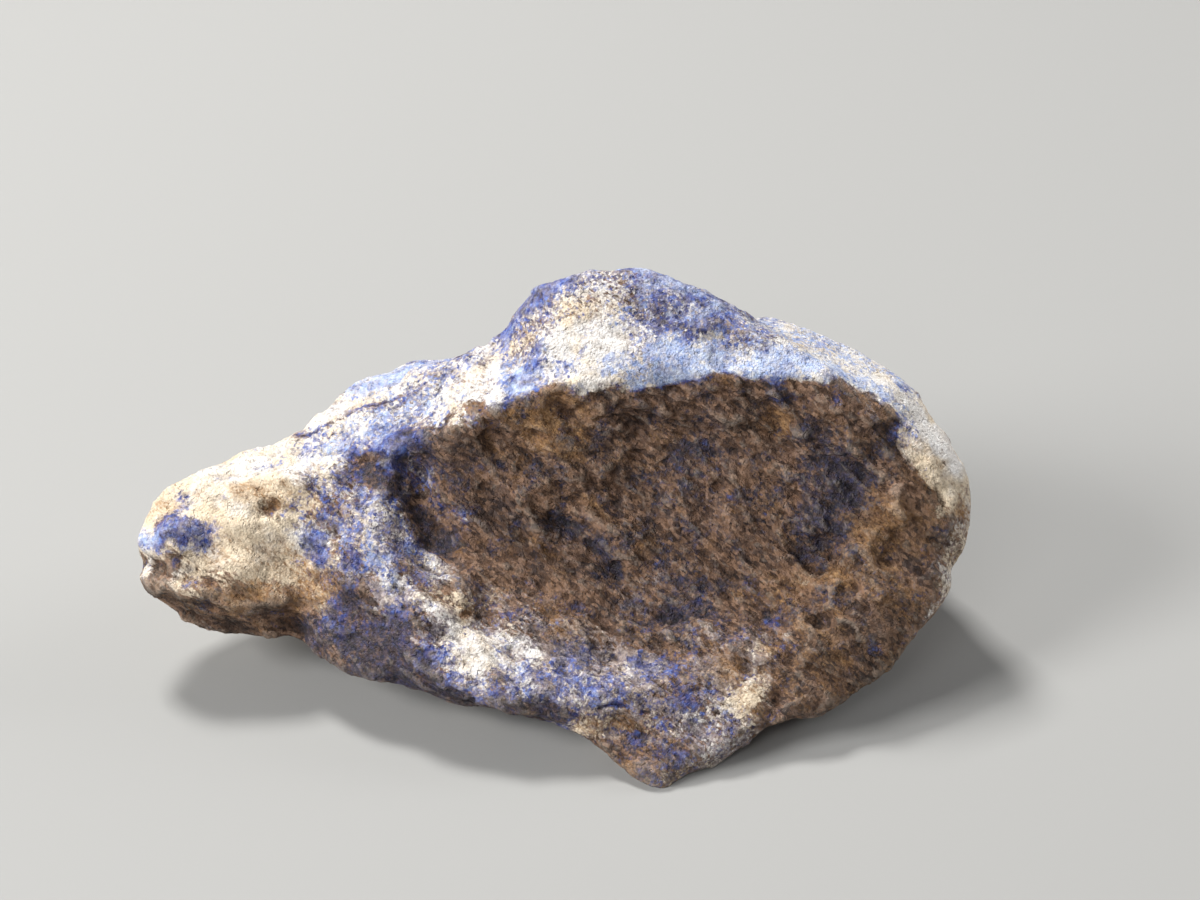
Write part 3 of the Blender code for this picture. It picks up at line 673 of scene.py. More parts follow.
@dataclass
class RockSkin:
    """The stone's visible skin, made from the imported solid.

    A fade is a pair of distances from the middle of a place: an effect is off at the first and full at the
    second.
    """

    seed: int = 2
    voxel: float = 0.20
    facet_smoothing: int = 14
    most_triangles: int = 194_000
    grain_turn: Point = (0.0, 31.0, -23.0)
    floor_band: float = 0.35
    floor_slack: float = 0.02
    side_margin: float = 0.25
    crisp_edge: float = 1.3
    crisp_share: float = 0.8
    crisp_fade: Fade = (1.0, 0.4)
    hollow_fade: Fade = (1.6, 0.6)
    calm_fade: Fade = (1.25, 0.6)
    calm_share: float = 0.55
    wander: tuple[tuple[float, float], ...] = ((0.9, 3.4), (0.5, 1.1))
    carving_wander: float = 0.7
    near_rounds: int = 5
    far_rounds: int = 30
    fine_depth: float = 0.05
    wide_depth: float = 0.20

    coarse: tuple[Relief, ...] = (
        Relief(ReliefKind.HACKLE, 3.6, 0.12, 0.52, stretch=1.9, octaves=2, seed=3.0),
        Relief(ReliefKind.BUMPS, 2.3, 0.11, 0.42, stretch=1.6, octaves=2, seed=11.0),
        Relief(ReliefKind.CHIPS, 2.6, 0.16, 0.10, stretch=1.6, seed=8.0),
    )
    fine: tuple[Relief, ...] = (
        Relief(ReliefKind.CHIPS, 1.25, 0.10, 0.15, stretch=1.5, seed=5.0),
        Relief(ReliefKind.LEDGES, 1.6, 0.09, 0.21, stretch=2.4, octaves=3, seed=21.0),
        Relief(ReliefKind.HACKLE, 1.1, 0.05, 0.13, stretch=1.8, octaves=3, seed=31.0),
        Relief(ReliefKind.BUMPS, 0.6, 0.05, 0.08, octaves=2, seed=41.0),
    )

    def build(self, solid: bpy.types.Object) -> bpy.types.Object:
        """Makes the skin.

        Args:
            solid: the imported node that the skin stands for.

        Returns:
            The finished object, in metres, with its mineral attributes.
        """
        noise.seed_set(self.seed)
        stone = self.fine_copy(solid)
        self.roughen(stone)
        self.thin_out(stone)
        self.keep_inside(stone)
        first = self.take_first_places(stone)
        self.write_hollows(stone)
        self.lay_minerals(stone, first)
        stone.data.shade_smooth()
        return stone

    def fine_copy(self, solid: bpy.types.Object) -> bpy.types.Object:
        """A finely divided copy of the solid with its facets softened.

        Args:
            solid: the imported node.

        Returns:
            A new object.
        """
        shape = bmesh.new()
        shape.from_mesh(solid.data)
        bmesh.ops.remove_doubles(shape, verts=shape.verts, dist=WELD_METRES)
        stone = place_mesh("rough_stone", shape)
        step = stone.modifiers.new("fine", "REMESH")
        step.mode = "VOXEL"
        step.voxel_size = self.voxel * MM
        bake_modifiers(stone)
        points = read_points(stone)
        floor = smooth_step(self.floor_band, 0.0, points[:, 2])
        edge = smooth_step(*self.crisp_fade, Line(self.crisp_edge, RIM).distance(points))
        kept = np.maximum(floor, self.crisp_share * edge)[:, None]
        smoothed = spread_out(stone, points, self.facet_smoothing)
        write_points(stone, smoothed * (1.0 - kept) + points * kept)
        return stone

    def grained(self, points: np.ndarray) -> np.ndarray:
        """The places in the axes of the rock's grain.

        Args:
            points: an N by 3 array of places in millimetres.

        Returns:
            The same places, with the first axis along the grain.
        """
        turn = Euler([math.radians(a) for a in self.grain_turn]).to_matrix()
        return points @ np.array(turn)

    def wandered(self, points: np.ndarray, share: float = 1.0) -> np.ndarray:
        """Shifts places a little, so that what is laid by them has ragged edges.

        Args:
            points: an N by 3 array of places in millimetres.
            share: how much of the full shift.

        Returns:
            The shifted places.
        """
        shifted = points
        for reach, size in self.wander:
            shifts = [noise.noise_vector(p) for p in (points / size).tolist()]
            shifted = shifted + share * reach * np.array(shifts)
        return shifted

    def roughen(self, stone: bpy.types.Object) -> None:
        """Raises and cuts the relief: the carvings and coarse layers first, then the fine ones.

        Args:
            stone: the finely divided copy, changed in place.
        """
        start = read_points(stone)
        attribute = stone.data.attributes.new(FIRST_PLACE, "FLOAT_VECTOR", "POINT")
        attribute.data.foreach_set("vector", start.astype(np.float32).ravel())
        hollow = smooth_step(*self.hollow_fade, HOLLOW.distance(start))
        off_floor = smooth_step(0.0, self.floor_band, start[:, 2])
        calm = np.max([smooth_step(*self.calm_fade, place.distance(start)) for place in CALM_PLACES], axis=0)
        share = off_floor * (1.0 - self.calm_share * calm)
        for layers, carvings in ((self.coarse, CARVINGS), (self.fine, ())):
            points = read_points(stone)
            grained = self.grained(points)
            height = sum(layer.heights(grained, hollow) for layer in layers)
            places = self.wandered(points, self.carving_wander)
            height = height + sum(carving.heights(places) for carving in carvings)
            write_points(stone, points + read_normals(stone) * (height * share)[:, None])

    def thin_out(self, stone: bpy.types.Object) -> None:
        """Brings the skin under its number of triangles, keeping its edges.

        Args:
            stone: the roughened copy, changed in place.
        """
        stone.data.calc_loop_triangles()
        count = len(stone.data.loop_triangles)
        if count > self.most_triangles:
            step = stone.modifiers.new("thin", "DECIMATE")
            step.ratio = self.most_triangles / count
            bake_modifiers(stone)

    def keep_inside(self, stone: bpy.types.Object) -> None:
        """Eases the skin back inside the solid's box, and keeps the underside flat.

        Args:
            stone: the skin, changed in place.
        """
        low, high = (np.array(corner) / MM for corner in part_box(STONE_NODE))
        points = read_points(stone)
        floor = points[:, 2] < low[2] + self.floor_slack
        for sign, limit in ((1.0, high), (-1.0, -low)):
            over = sign * points - (limit - self.side_margin)
            eased = self.side_margin * (1.0 - np.exp(-np.maximum(over, 0.0) / self.side_margin))
            easing = np.where(over > 0.0, eased - over, 0.0)
            if sign < 0:
                easing[:, 2] = 0.0
            points = points + sign * easing
        points = np.clip(points, low, high)
        points[floor, 2] = low[2]
        write_points(stone, points)

    def take_first_places(self, stone: bpy.types.Object) -> np.ndarray:
        """Reads where the skin lay before the relief, and drops the attribute that held it.

        Args:
            stone: the finished skin.

        Returns:
            An N by 3 array of places in millimetres.
        """
        attribute = stone.data.attributes[FIRST_PLACE]
        first = read_vectors(attribute.data, "vector")
        stone.data.attributes.remove(attribute)
        moved = np.linalg.norm(read_points(stone) - first, axis=1)
        log.info("the relief moves the skin by up to %.2f mm", moved.max())
        return first

    def write_hollows(self, stone: bpy.types.Object) -> None:
        """Writes how deep each vertex lies in the narrow and in the wide hollows of the skin.

        Args:
            stone: the finished skin.
        """
        points = read_points(stone)
        normals = read_normals(stone)
        near = spread_out(stone, points, self.near_rounds)
        far = spread_out(stone, near, self.far_rounds)
        write_attribute(stone, FINE_HOLLOW, np.einsum("ij,ij->i", near - points, normals) / self.fine_depth)
        write_attribute(stone, WIDE_HOLLOW, np.einsum("ij,ij->i", far - near, normals) / self.wide_depth)

    def lay_minerals(self, stone: bpy.types.Object, first: np.ndarray) -> None:
        """Writes the mineral shares as vertex attributes: the regions first, then the markings over them.

        Args:
            stone: the finished skin.
            first: where each vertex lay before the relief.
        """
        places = self.wandered(first)
        weights = np.array([np.exp(-REGION_FADE * region.place.distance(places)) for region in REGIONS])
        mixes = np.array([region.dress.shares() for region in REGIONS])
        shares = (weights.T @ mixes) / weights.sum(axis=0)[:, None]
        for marking in MARKINGS:
            where = first if isinstance(marking.place, Bowl) else places
            share = marking.weight(where)[:, None]
            if share.max() < FAINTEST_MARKING:
                log.warning("the marking %s misses the stone", marking.name)
            shares = shares * (1.0 - share) + marking.dress.shares() * share
        for column, kind in enumerate(Share):
            write_attribute(stone, kind.value, shares[:, column])


def place_mesh(name: str, shape: bmesh.types.BMesh) -> bpy.types.Object:
    """Puts a shape into the scene.

    Args:
        name: what the object and its mesh are called.
        shape: the shape, which is used up.

    Returns:
        The new object.
    """
    mesh = bpy.data.meshes.new(name)
    shape.to_mesh(mesh)
    shape.free()
    return place_item(name, mesh)


def place_item(name: str, data: bpy.types.ID) -> bpy.types.Object:
    """Links a new object to the scene.

    Args:
        name: what it is called.
        data: its mesh, light or camera.

    Returns:
        The new object.
    """
    item = bpy.data.objects.new(name, data)
    bpy.context.scene.collection.objects.link(item)
    return item


def bake_modifiers(item: bpy.types.Object) -> None:
    """Replaces the object's mesh with what its modifiers make of it.

    Args:
        item: the object, left with no modifier.
    """
    graph = bpy.context.evaluated_depsgraph_get()
    mesh = bpy.data.meshes.new_from_object(item.evaluated_get(graph))
    item.modifiers.clear()
    item.data = mesh
    mesh.name = item.name


def read_vectors(rows: bpy.types.bpy_prop_collection, name: str) -> np.ndarray:
    """Reads one vector from each row of a mesh's data.

    Args:
        rows: the rows, such as the vertices.
        name: what the vector is called.

    Returns:
        An N by 3 array.
    """
    flat = np.empty(len(rows) * 3, np.float32)
    rows.foreach_get(name, flat)
    return flat.reshape(-1, 3).astype(float)


def read_points(item: bpy.types.Object) -> np.ndarray:
    """The object's vertices as an N by 3 array in millimetres."""
    return read_vectors(item.data.vertices, "co") / MM


def read_normals(item: bpy.types.Object) -> np.ndarray:
    """The object's vertex normals as an N by 3 array."""
    return read_vectors(item.data.vertex_normals, "vector")


def write_points(item: bpy.types.Object, points: np.ndarray) -> None:
    """Moves the object's vertices to an N by 3 array of places in millimetres."""
    item.data.vertices.foreach_set("co", (points * MM).astype(np.float32).ravel())
    item.data.update()


def write_attribute(item: bpy.types.Object, name: str, values: np.ndarray) -> None:
    """Stores a number for each vertex under a name."""
    attribute = item.data.attributes.new(name, "FLOAT", "POINT")
    attribute.data.foreach_set("value", values.astype(np.float32))


def spread_out(item: bpy.types.Object, points: np.ndarray, rounds: int) -> np.ndarray:
    """Moves each point halfway to the middle of its neighbours, again and again.

    Args:
        item: the object whose edges join the points.
        points: an N by 3 array.
        rounds: how often to do it.

    Returns:
        The smoothed points.
    """
    flat = np.empty(len(item.data.edges) * 2, np.int32)
    item.data.edges.foreach_get("vertices", flat)
    ends = np.concatenate([flat.reshape(-1, 2), flat.reshape(-1, 2)[:, ::-1]])
    count = np.maximum(np.bincount(ends[:, 0], minlength=len(points)), 1)
    for _ in range(rounds):
        sums = [np.bincount(ends[:, 0], points[ends[:, 1], axis], len(points)) for axis in range(3)]
        points = 0.5 * points + 0.5 * np.stack(sums, axis=1) / count[:, None]
    return points


# ---------------------------------------------------------------------------
# Nodes
# ---------------------------------------------------------------------------


class Ramp(NamedTuple):
    """A rise from 0 at one value to a share at another."""

    low: float
    high: float
    most: float = 1.0
    smooth: bool = True


class Cloud(NamedTuple):
    """A noise around 0: how many details it has, how rough it is and how far it swings."""

    detail: float
    roughness: float
    swing: float = 1.0
    distortion: float = 0.0


class Grains(NamedTuple):
    """Single grains: the distance from the middle of each, and three random numbers for each."""

    distance: Socket
    draws: bpy.types.NodeOutputs


@dataclass
class NodeGraph:
    """A short way to add nodes to a tree and to link them."""

    tree: bpy.types.NodeTree

    def add(self, kind: str, settings: dict | None = None, **inputs) -> bpy.types.Node:
        """Adds a node.

        Args:
            kind: the node's type.
            settings: its properties.
            inputs: a value or an output socket for each input, by the socket's name with _ for spaces,
                or by its number after the letter n.

        Returns:
            The new node.
        """
        node = self.tree.nodes.new(kind)
        for name, value in (settings or {}).items():
            setattr(node, name, value)
        for name, value in inputs.items():
            self.feed(node, name, value)
        return node

    def feed(self, node: bpy.types.Node, name: str, value: object) -> None:
        """Links or sets one input.

        Args:
            node: the node whose input it is.
            name: the input's name with _ for spaces, or its number after the letter n.
            value: an output socket to link, or a value to set.
        """
        numbered = name[0] == "n" and name[1:].isdigit()
        socket = node.inputs[int(name[1:])] if numbered else node.inputs[name.replace("_", " ")]
        if isinstance(value, Socket):
            self.tree.links.new(value, socket)
        elif isinstance(value, tuple) and len(value) == 3 and socket.type == "RGBA":
            socket.default_value = (*value, 1.0)
        else:
            socket.default_value = value

    def math(self, operation: str, first: object, second: object = 0.0, third: object = 0.0,
             clamp: bool = False) -> Socket:
        """A Math node's result.

        Args:
            operation: what it does.
            first: its first number.
            second: its second number.
            third: its third number, where it takes three.
            clamp: whether the result is kept from 0 to 1.

        Returns:
            The output socket.
        """
        settings = {"operation": operation, "use_clamp": clamp}
        return self.add("ShaderNodeMath", settings, n0=first, n1=second, n2=third).outputs[0]

    def total(self, first: object, *others: object) -> Socket:
        """The sum of two or more numbers."""
        for other in others:
            first = self.math("ADD", first, other)
        return first

    def swing(self, value: object, reach: object) -> Socket:
        """A number from 0 to 1 moved to lie around 0 and multiplied by a reach."""
        return self.math("MULTIPLY", self.math("SUBTRACT", value, 0.5), reach)

    def ramp(self, value: object, low: object, high: object, most: float = 1.0,
             smooth: bool = True) -> Socket:
        """A Map Range node's result.

        Args:
            value: the number to map.
            low: where the ramp leaves 0.
            high: where it ends.
            most: its result there.
            smooth: whether it is S-shaped.

        Returns:
            The output socket.
        """
        settings = {"interpolation_type": "SMOOTHSTEP" if smooth else "LINEAR", "clamp": True}
        node = self.add("ShaderNodeMapRange", settings, Value=value, From_Min=low, From_Max=high,
                        To_Min=0.0, To_Max=most)
        return node.outputs["Result"]

    def mix(self, share: object, first: object, second: object, blend: str = "MIX") -> Socket:
        """A colour mix.

        Args:
            share: how much of the second colour, from 0 to 1.
            first: the first colour.
            second: the second colour.
            blend: how they are blended.

        Returns:
            The output socket.
        """
        node = self.add("ShaderNodeMix", {"data_type": "RGBA", "blend_type": blend, "clamp_factor": True},
                        n0=share, n6=first, n7=second)
        return node.outputs[2]

    def mix_numbers(self, share: object, first: object, second: object) -> Socket:
        """A number between two others, by the share of the second."""
        node = self.add("ShaderNodeMix", {"data_type": "FLOAT", "clamp_factor": True}, n0=share, n2=first,
                        n3=second)
        return node.outputs[0]

    def cloud(self, place: Socket, scale: object, cloud: Cloud) -> Socket:
        """A Noise Texture's value, moved to lie around 0.

        Args:
            place: where to look.
            scale: how many lumps there are in a millimetre.
            cloud: what the noise is like.

        Returns:
            The output socket.
        """
        node = self.add("ShaderNodeTexNoise", {"noise_dimensions": "3D"}, Vector=place, Scale=scale,
                        Detail=cloud.detail, Roughness=cloud.roughness, Distortion=cloud.distortion)
        return self.swing(node.outputs["Fac"], cloud.swing)

    def grains(self, place: Socket, scale: object) -> Grains:
        """Single grains.

        Args:
            place: where to look.
            scale: how many grains there are in a millimetre.

        Returns:
            Their sockets.
        """
        node = self.add("ShaderNodeTexVoronoi", {"voronoi_dimensions": "3D"}, Vector=place, Scale=scale)
        split = self.add("ShaderNodeSeparateColor", Color=node.outputs["Color"])
        return Grains(node.outputs["Distance"], split.outputs)

    def attribute(self, name: str) -> Socket:
        """A vertex attribute's value."""
        return self.add("ShaderNodeAttribute", {"attribute_name": name}).outputs["Fac"]

    def group(self, tree: bpy.types.NodeTree, label: str, **inputs) -> bpy.types.NodeOutputs:
        """Places a node group.

        Args:
            tree: the group.
            label: what it stands for here.
            inputs: its inputs by name, with _ for spaces.

        Returns:
            The group's outputs.
        """
        node = self.add("ShaderNodeGroup", {"node_tree": tree, "label": label})
        for name, value in inputs.items():
            self.feed(node, name, value)
        return node.outputs


class SocketKind(Enum):
    """What a group's socket holds, as the name of its type."""

    NUMBER = "NodeSocketFloat"
    VECTOR = "NodeSocketVector"
    COLOUR = "NodeSocketColor"

    @classmethod
    def of(cls, value: float | tuple[float, ...]) -> "SocketKind":
        """The kind that holds a number, a vector of three numbers or a colour of four."""
        if isinstance(value, float):
            return cls.NUMBER
        return cls.COLOUR if len(value) == 4 else cls.VECTOR


def new_group(name: str, inputs: dict[str, float | tuple[float, ...]],
              outputs: dict[str, SocketKind]) -> bpy.types.NodeTree:
    """An empty shader node group with its sockets.

    Args:
        name: the group's name.
        inputs: the default value of each input.
        outputs: what each output holds.

    Returns:
        The new group.
    """
    tree = bpy.data.node_groups.new(name, "ShaderNodeTree")
    for label, value in inputs.items():
        socket = tree.interface.new_socket(label, in_out="INPUT", socket_type=SocketKind.of(value).value)
        socket.default_value = value
    for label, kind in outputs.items():
        tree.interface.new_socket(label, in_out="OUTPUT", socket_type=kind.value)
    return tree


@dataclass(frozen=True)
class PlacesEffect:
    """Places on the rock in millimetres: plain, and turned and drawn out along the grain."""

    grain_turn: Point

    def build(self) -> bpy.types.NodeTree:
        """Makes the group.

        Returns:
            A group with the outputs Plain and Grained.
        """
        tree = new_group("rock places", {"Stretch": 2.0},
                         {"Plain": SocketKind.VECTOR, "Grained": SocketKind.VECTOR})
        graph = NodeGraph(tree)
        given = graph.add("NodeGroupInput").outputs
        place = graph.add("ShaderNodeTexCoord").outputs["Object"]
        plain = graph.add("ShaderNodeVectorMath", {"operation": "SCALE"}, n0=place,
                          Scale=1.0 / MM).outputs[0]
        turn = tuple(math.radians(a) for a in self.grain_turn)
        turned = graph.add("ShaderNodeVectorRotate", {"rotation_type": "EULER_XYZ", "invert": True},
                           Vector=plain, Rotation=turn).outputs[0]
        squeeze = graph.math("DIVIDE", 1.0, given["Stretch"])
        scale = graph.add("ShaderNodeCombineXYZ", X=squeeze, Y=1.0, Z=1.0).outputs[0]
        grained = graph.add("ShaderNodeVectorMath", {"operation": "MULTIPLY"}, n0=turned,
                            n1=scale).outputs[0]
        graph.add("NodeGroupOutput", Plain=plain, Grained=grained)
        return tree


@dataclass(frozen=True)
class CoverageEffect:
    """Where a mineral lies: its share of the rock, broken up into zones, patches and single grains.

    Where the mix is fine, the grains weigh more, the patches reach less far and the cover is thinner.
    """

    reach: float = 2.7
    patches: Cloud = Cloud(3.0, 0.48, swing=0.72, distortion=0.1)
    zones: Cloud = Cloud(2.0, 0.5, swing=0.48)
    zone_scale: float = 0.3
    specks: Cloud = Cloud(3.0, 0.6, swing=1.9)
    speck_scale: float = 0.9
    grain_swing: float = 0.55
    fine_grain_weight: float = 0.8
    fine_reach: float = -0.8
    fine_thinness: float = 0.25
    seed_slant: float = 1.7
    threshold: float = 0.5

    def build(self) -> bpy.types.NodeTree:
        """Makes the group.

        Returns:
            A group with the output Mask.
        """
        tree = new_group(
            "mineral coverage",
            {"Place": (0.0, 0.0, 0.0), "Seed": 0.0, "Share": 0.5, "Fineness": 0.0, "Patch Size": 1.0,
             "Grain Size": 0.2, "Grain Weight": 0.2, "Softness": 0.12, "Thinness": 0.3},
            {"Mask": SocketKind.NUMBER},
        )
        graph = NodeGraph(tree)
        given = graph.add("NodeGroupInput").outputs
        fineness = given["Fineness"]
        slanted = graph.math("MULTIPLY", given["Seed"], self.seed_slant)
        shift = graph.add("ShaderNodeCombineXYZ", X=given["Seed"], Y=slanted, Z=0.0).outputs[0]
        place = graph.add("ShaderNodeVectorMath", {"operation": "ADD"}, n0=given["Place"],
                          n1=shift).outputs[0]

        patch_scale = graph.math("DIVIDE", 1.0, given["Patch Size"])
        zone_scale = graph.math("MULTIPLY", patch_scale, self.zone_scale)
        lumps = graph.total(graph.cloud(place, patch_scale, self.patches),
                            graph.cloud(place, zone_scale, self.zones))
        reach_share = graph.math("MULTIPLY_ADD", fineness, self.fine_reach, 1.0)
        reach = graph.math("MULTIPLY", reach_share, self.reach)

        grain_scale = graph.math("DIVIDE", 1.0, given["Grain Size"])
        speck_scale = graph.math("MULTIPLY", grain_scale, self.speck_scale)
        draws = graph.grains(place, grain_scale).draws
        specks = graph.total(graph.cloud(place, speck_scale, self.specks),
                             graph.swing(draws[0], self.grain_swing))
        weight = graph.math("MULTIPLY_ADD", fineness, self.fine_grain_weight, given["Grain Weight"])

        level = graph.total(given["Share"], graph.math("MULTIPLY", lumps, reach),
                            graph.math("MULTIPLY", specks, weight))
        low = graph.math("SUBTRACT", self.threshold, given["Softness"])
        high = graph.math("ADD", self.threshold, given["Softness"])
        thinness = graph.math("MULTIPLY_ADD", fineness, self.fine_thinness, given["Thinness"])
        cover = graph.math("SUBTRACT", 1.0, graph.math("MULTIPLY", draws[2], thinness))
        graph.add("NodeGroupOutput", Mask=graph.math("MULTIPLY", graph.ramp(level, low, high), cover))
        return tree


@dataclass(frozen=True)
class MottleEffect:
    """A mineral's own colour, drifting between three tones, with single grains lighter or darker."""

    drift: Cloud = Cloud(6.0, 0.7, swing=2.6)

    def build(self) -> bpy.types.NodeTree:
        """Makes the group.

        Returns:
            A group with the output Colour.
        """
        tree = new_group(
            "mineral mottle",
            {"Place": (0.0, 0.0, 0.0), "Dark": (0.1, 0.1, 0.1, 1.0), "Middle": (0.3, 0.3, 0.3, 1.0),
             "Light": (0.6, 0.6, 0.6, 1.0), "Size": 0.8, "Grain Size": 0.16, "Grain Contrast": 0.5},
            {"Colour": SocketKind.COLOUR},
        )
        graph = NodeGraph(tree)
        given = graph.add("NodeGroupInput").outputs
        wide = graph.cloud(given["Place"], graph.math("DIVIDE", 1.0, given["Size"]), self.drift)
        draws = graph.grains(given["Place"], graph.math("DIVIDE", 1.0, given["Grain Size"])).draws
        tone = graph.total(wide, graph.swing(draws[1], given["Grain Contrast"]), 0.5)
        lower = graph.mix(graph.ramp(tone, 0.0, 0.5, smooth=False), given["Dark"], given["Middle"])
        colour = graph.mix(graph.ramp(tone, 0.5, 1.0, smooth=False), lower, given["Light"])
        graph.add("NodeGroupOutput", Colour=colour)
        return tree


@dataclass(frozen=True)
class GritEffect:
    """The roughness of a broken surface, finer than the mesh holds: grains, rough specks and pits."""

    rough: Cloud = Cloud(5.0, 0.7)
    rough_scale: float = 0.8
    pits: Cloud = Cloud(3.0, 0.5)
    pit_ramp: Ramp = Ramp(-0.08, -0.20)
    pit_depth: float = -1.2
    grain_height: float = 0.45
    grain_edge: float = -0.5

    def build(self) -> bpy.types.NodeTree:
        """Makes the group.

        Returns:
            A group with the outputs Height and Facet.
        """
        tree = new_group("grit", {"Place": (0.0, 0.0, 0.0), "Grain Size": 0.2, "Pit Size": 0.45},
                         {"Height": SocketKind.NUMBER, "Facet": SocketKind.NUMBER})
        graph = NodeGraph(tree)
        given = graph.add("NodeGroupInput").outputs
        place = given["Place"]
        scale = graph.math("DIVIDE", 1.0, given["Grain Size"])
        grains = graph.grains(place, scale)
        rough = graph.cloud(place, graph.math("MULTIPLY", scale, self.rough_scale), self.rough)
        pits = graph.cloud(place, graph.math("DIVIDE", 1.0, given["Pit Size"]), self.pits)
        height = graph.total(graph.math("MULTIPLY", grains.draws[2], self.grain_height),
                             graph.math("MULTIPLY", grains.distance, self.grain_edge), rough,
                             graph.math("MULTIPLY", graph.ramp(pits, *self.pit_ramp), self.pit_depth))
        graph.add("NodeGroupOutput", Height=height, Facet=grains.draws[2])
        return tree


@dataclass
class RockEffects:
    """The node groups that the rock's finish is put together from, each built once."""

    grain_turn: Point

    def __post_init__(self) -> None:
        """Builds the groups."""
        self.places = PlacesEffect(self.grain_turn).build()
        self.coverage = CoverageEffect().build()
        self.mottle = MottleEffect().build()
        self.grit = GritEffect().build()


# ---------------------------------------------------------------------------
# Finish
# ---------------------------------------------------------------------------


@dataclass(frozen=True)
class MineralFinish:
    """How one mineral looks and how it breaks up."""

    name: str
    dark: Colour
    middle: Colour
    light: Colour
    roughness: float
    size: float = 0.8
    grain: float = 0.16
    contrast: float = 0.5
    patch: float = 1.2
    grain_weight: float = 0.18
    softness: float = 0.14
    thinness: float = 0.3
    seed: float = 0.0


HOST = MineralFinish("host", (0.11, 0.09, 0.10), (0.25, 0.215, 0.235), (0.44, 0.39, 0.40), 0.78, grain=0.24,
                     contrast=0.6)
CALCITE = MineralFinish("calcite", (0.64, 0.60, 0.56), (0.81, 0.78, 0.75), (0.91, 0.90, 0.89), 0.55,
                        seed=4.3, patch=1.5, grain=0.24, thinness=0.12, contrast=0.42, softness=0.20,
                        grain_weight=0.24)
CRUST = MineralFinish("crust", (0.030, 0.015, 0.010), (0.114, 0.060, 0.034), (0.27, 0.155, 0.095), 0.86,
                      seed=9.1, size=2.2, grain=0.24, contrast=0.9, patch=2.2, thinness=0.1)
OCHRE = MineralFinish("ochre", (0.12, 0.055, 0.022), (0.28, 0.148, 0.060), (0.48, 0.29, 0.14), 0.88,
                      seed=14.9, patch=1.8, softness=0.28, thinness=0.6, contrast=0.45)
NAVY = MineralFinish("navy", (0.009, 0.008, 0.012), (0.020, 0.019, 0.040), (0.046, 0.048, 0.12), 0.55,
                     size=0.6)
LAZURITE = MineralFinish("lazurite", (0.010, 0.017, 0.082), (0.027, 0.050, 0.27), (0.12, 0.20, 0.56), 0.52,
                         seed=21.7, size=0.9, patch=1.9, grain=0.28, contrast=0.6, softness=0.20,
                         thinness=0.34, grain_weight=0.30)
POWDER_BLUE = MineralFinish("powder blue", (0.16, 0.23, 0.48), (0.33, 0.43, 0.72), (0.56, 0.67, 0.88), 0.62)


@dataclass(frozen=True)
class BlueDepth:
    """How lazurite goes from powdery pale blue to navy with its depth."""

    drift: Cloud = Cloud(5.0, 0.62, swing=1.9)
    drift_scale: float = 0.9
    pale: Ramp = Ramp(0.50, 0.10, smooth=False)
    navy: Ramp = Ramp(0.55, 0.95, smooth=False)


@dataclass(frozen=True)
class IronStain:
    """A thin warm stain of iron."""

    drift: Cloud = Cloud(5.0, 0.6, swing=1.8)
    drift_scale: float = 0.35
    ramp: Ramp = Ramp(-0.05, 0.50, 0.85)
    tint: Colour = (1.0, 0.84, 0.60)


@dataclass(frozen=True)
class HollowShadeAndWear:
    """Dirt and painted shade in the hollows of the skin, and paler high spots that are wear and painted
    highlight.
    """

    # the dirt ramps darken with dirt and painted shade; the rub ramps lighten with wear and painted highlight
    fine_dirt_and_shade: Ramp = Ramp(0.2, 1.4, 0.40)
    wide_dirt_and_shade: Ramp = Ramp(0.1, 1.4, 0.50)
    dirt_and_shade_tint: Colour = (0.26, 0.20, 0.17)
    fine_rub_and_highlight: Ramp = Ramp(-0.3, -1.4, 0.5)
    wide_rub_and_highlight: Ramp = Ramp(-0.2, -1.6, 0.5)
    rub_and_highlight_share: float = 0.22
    rub_and_highlight_colour: Colour = (0.70, 0.60, 0.50)


class Look(NamedTuple):
    """A colour and a roughness, as sockets or plain values."""

    colour: Socket
    roughness: Socket | float


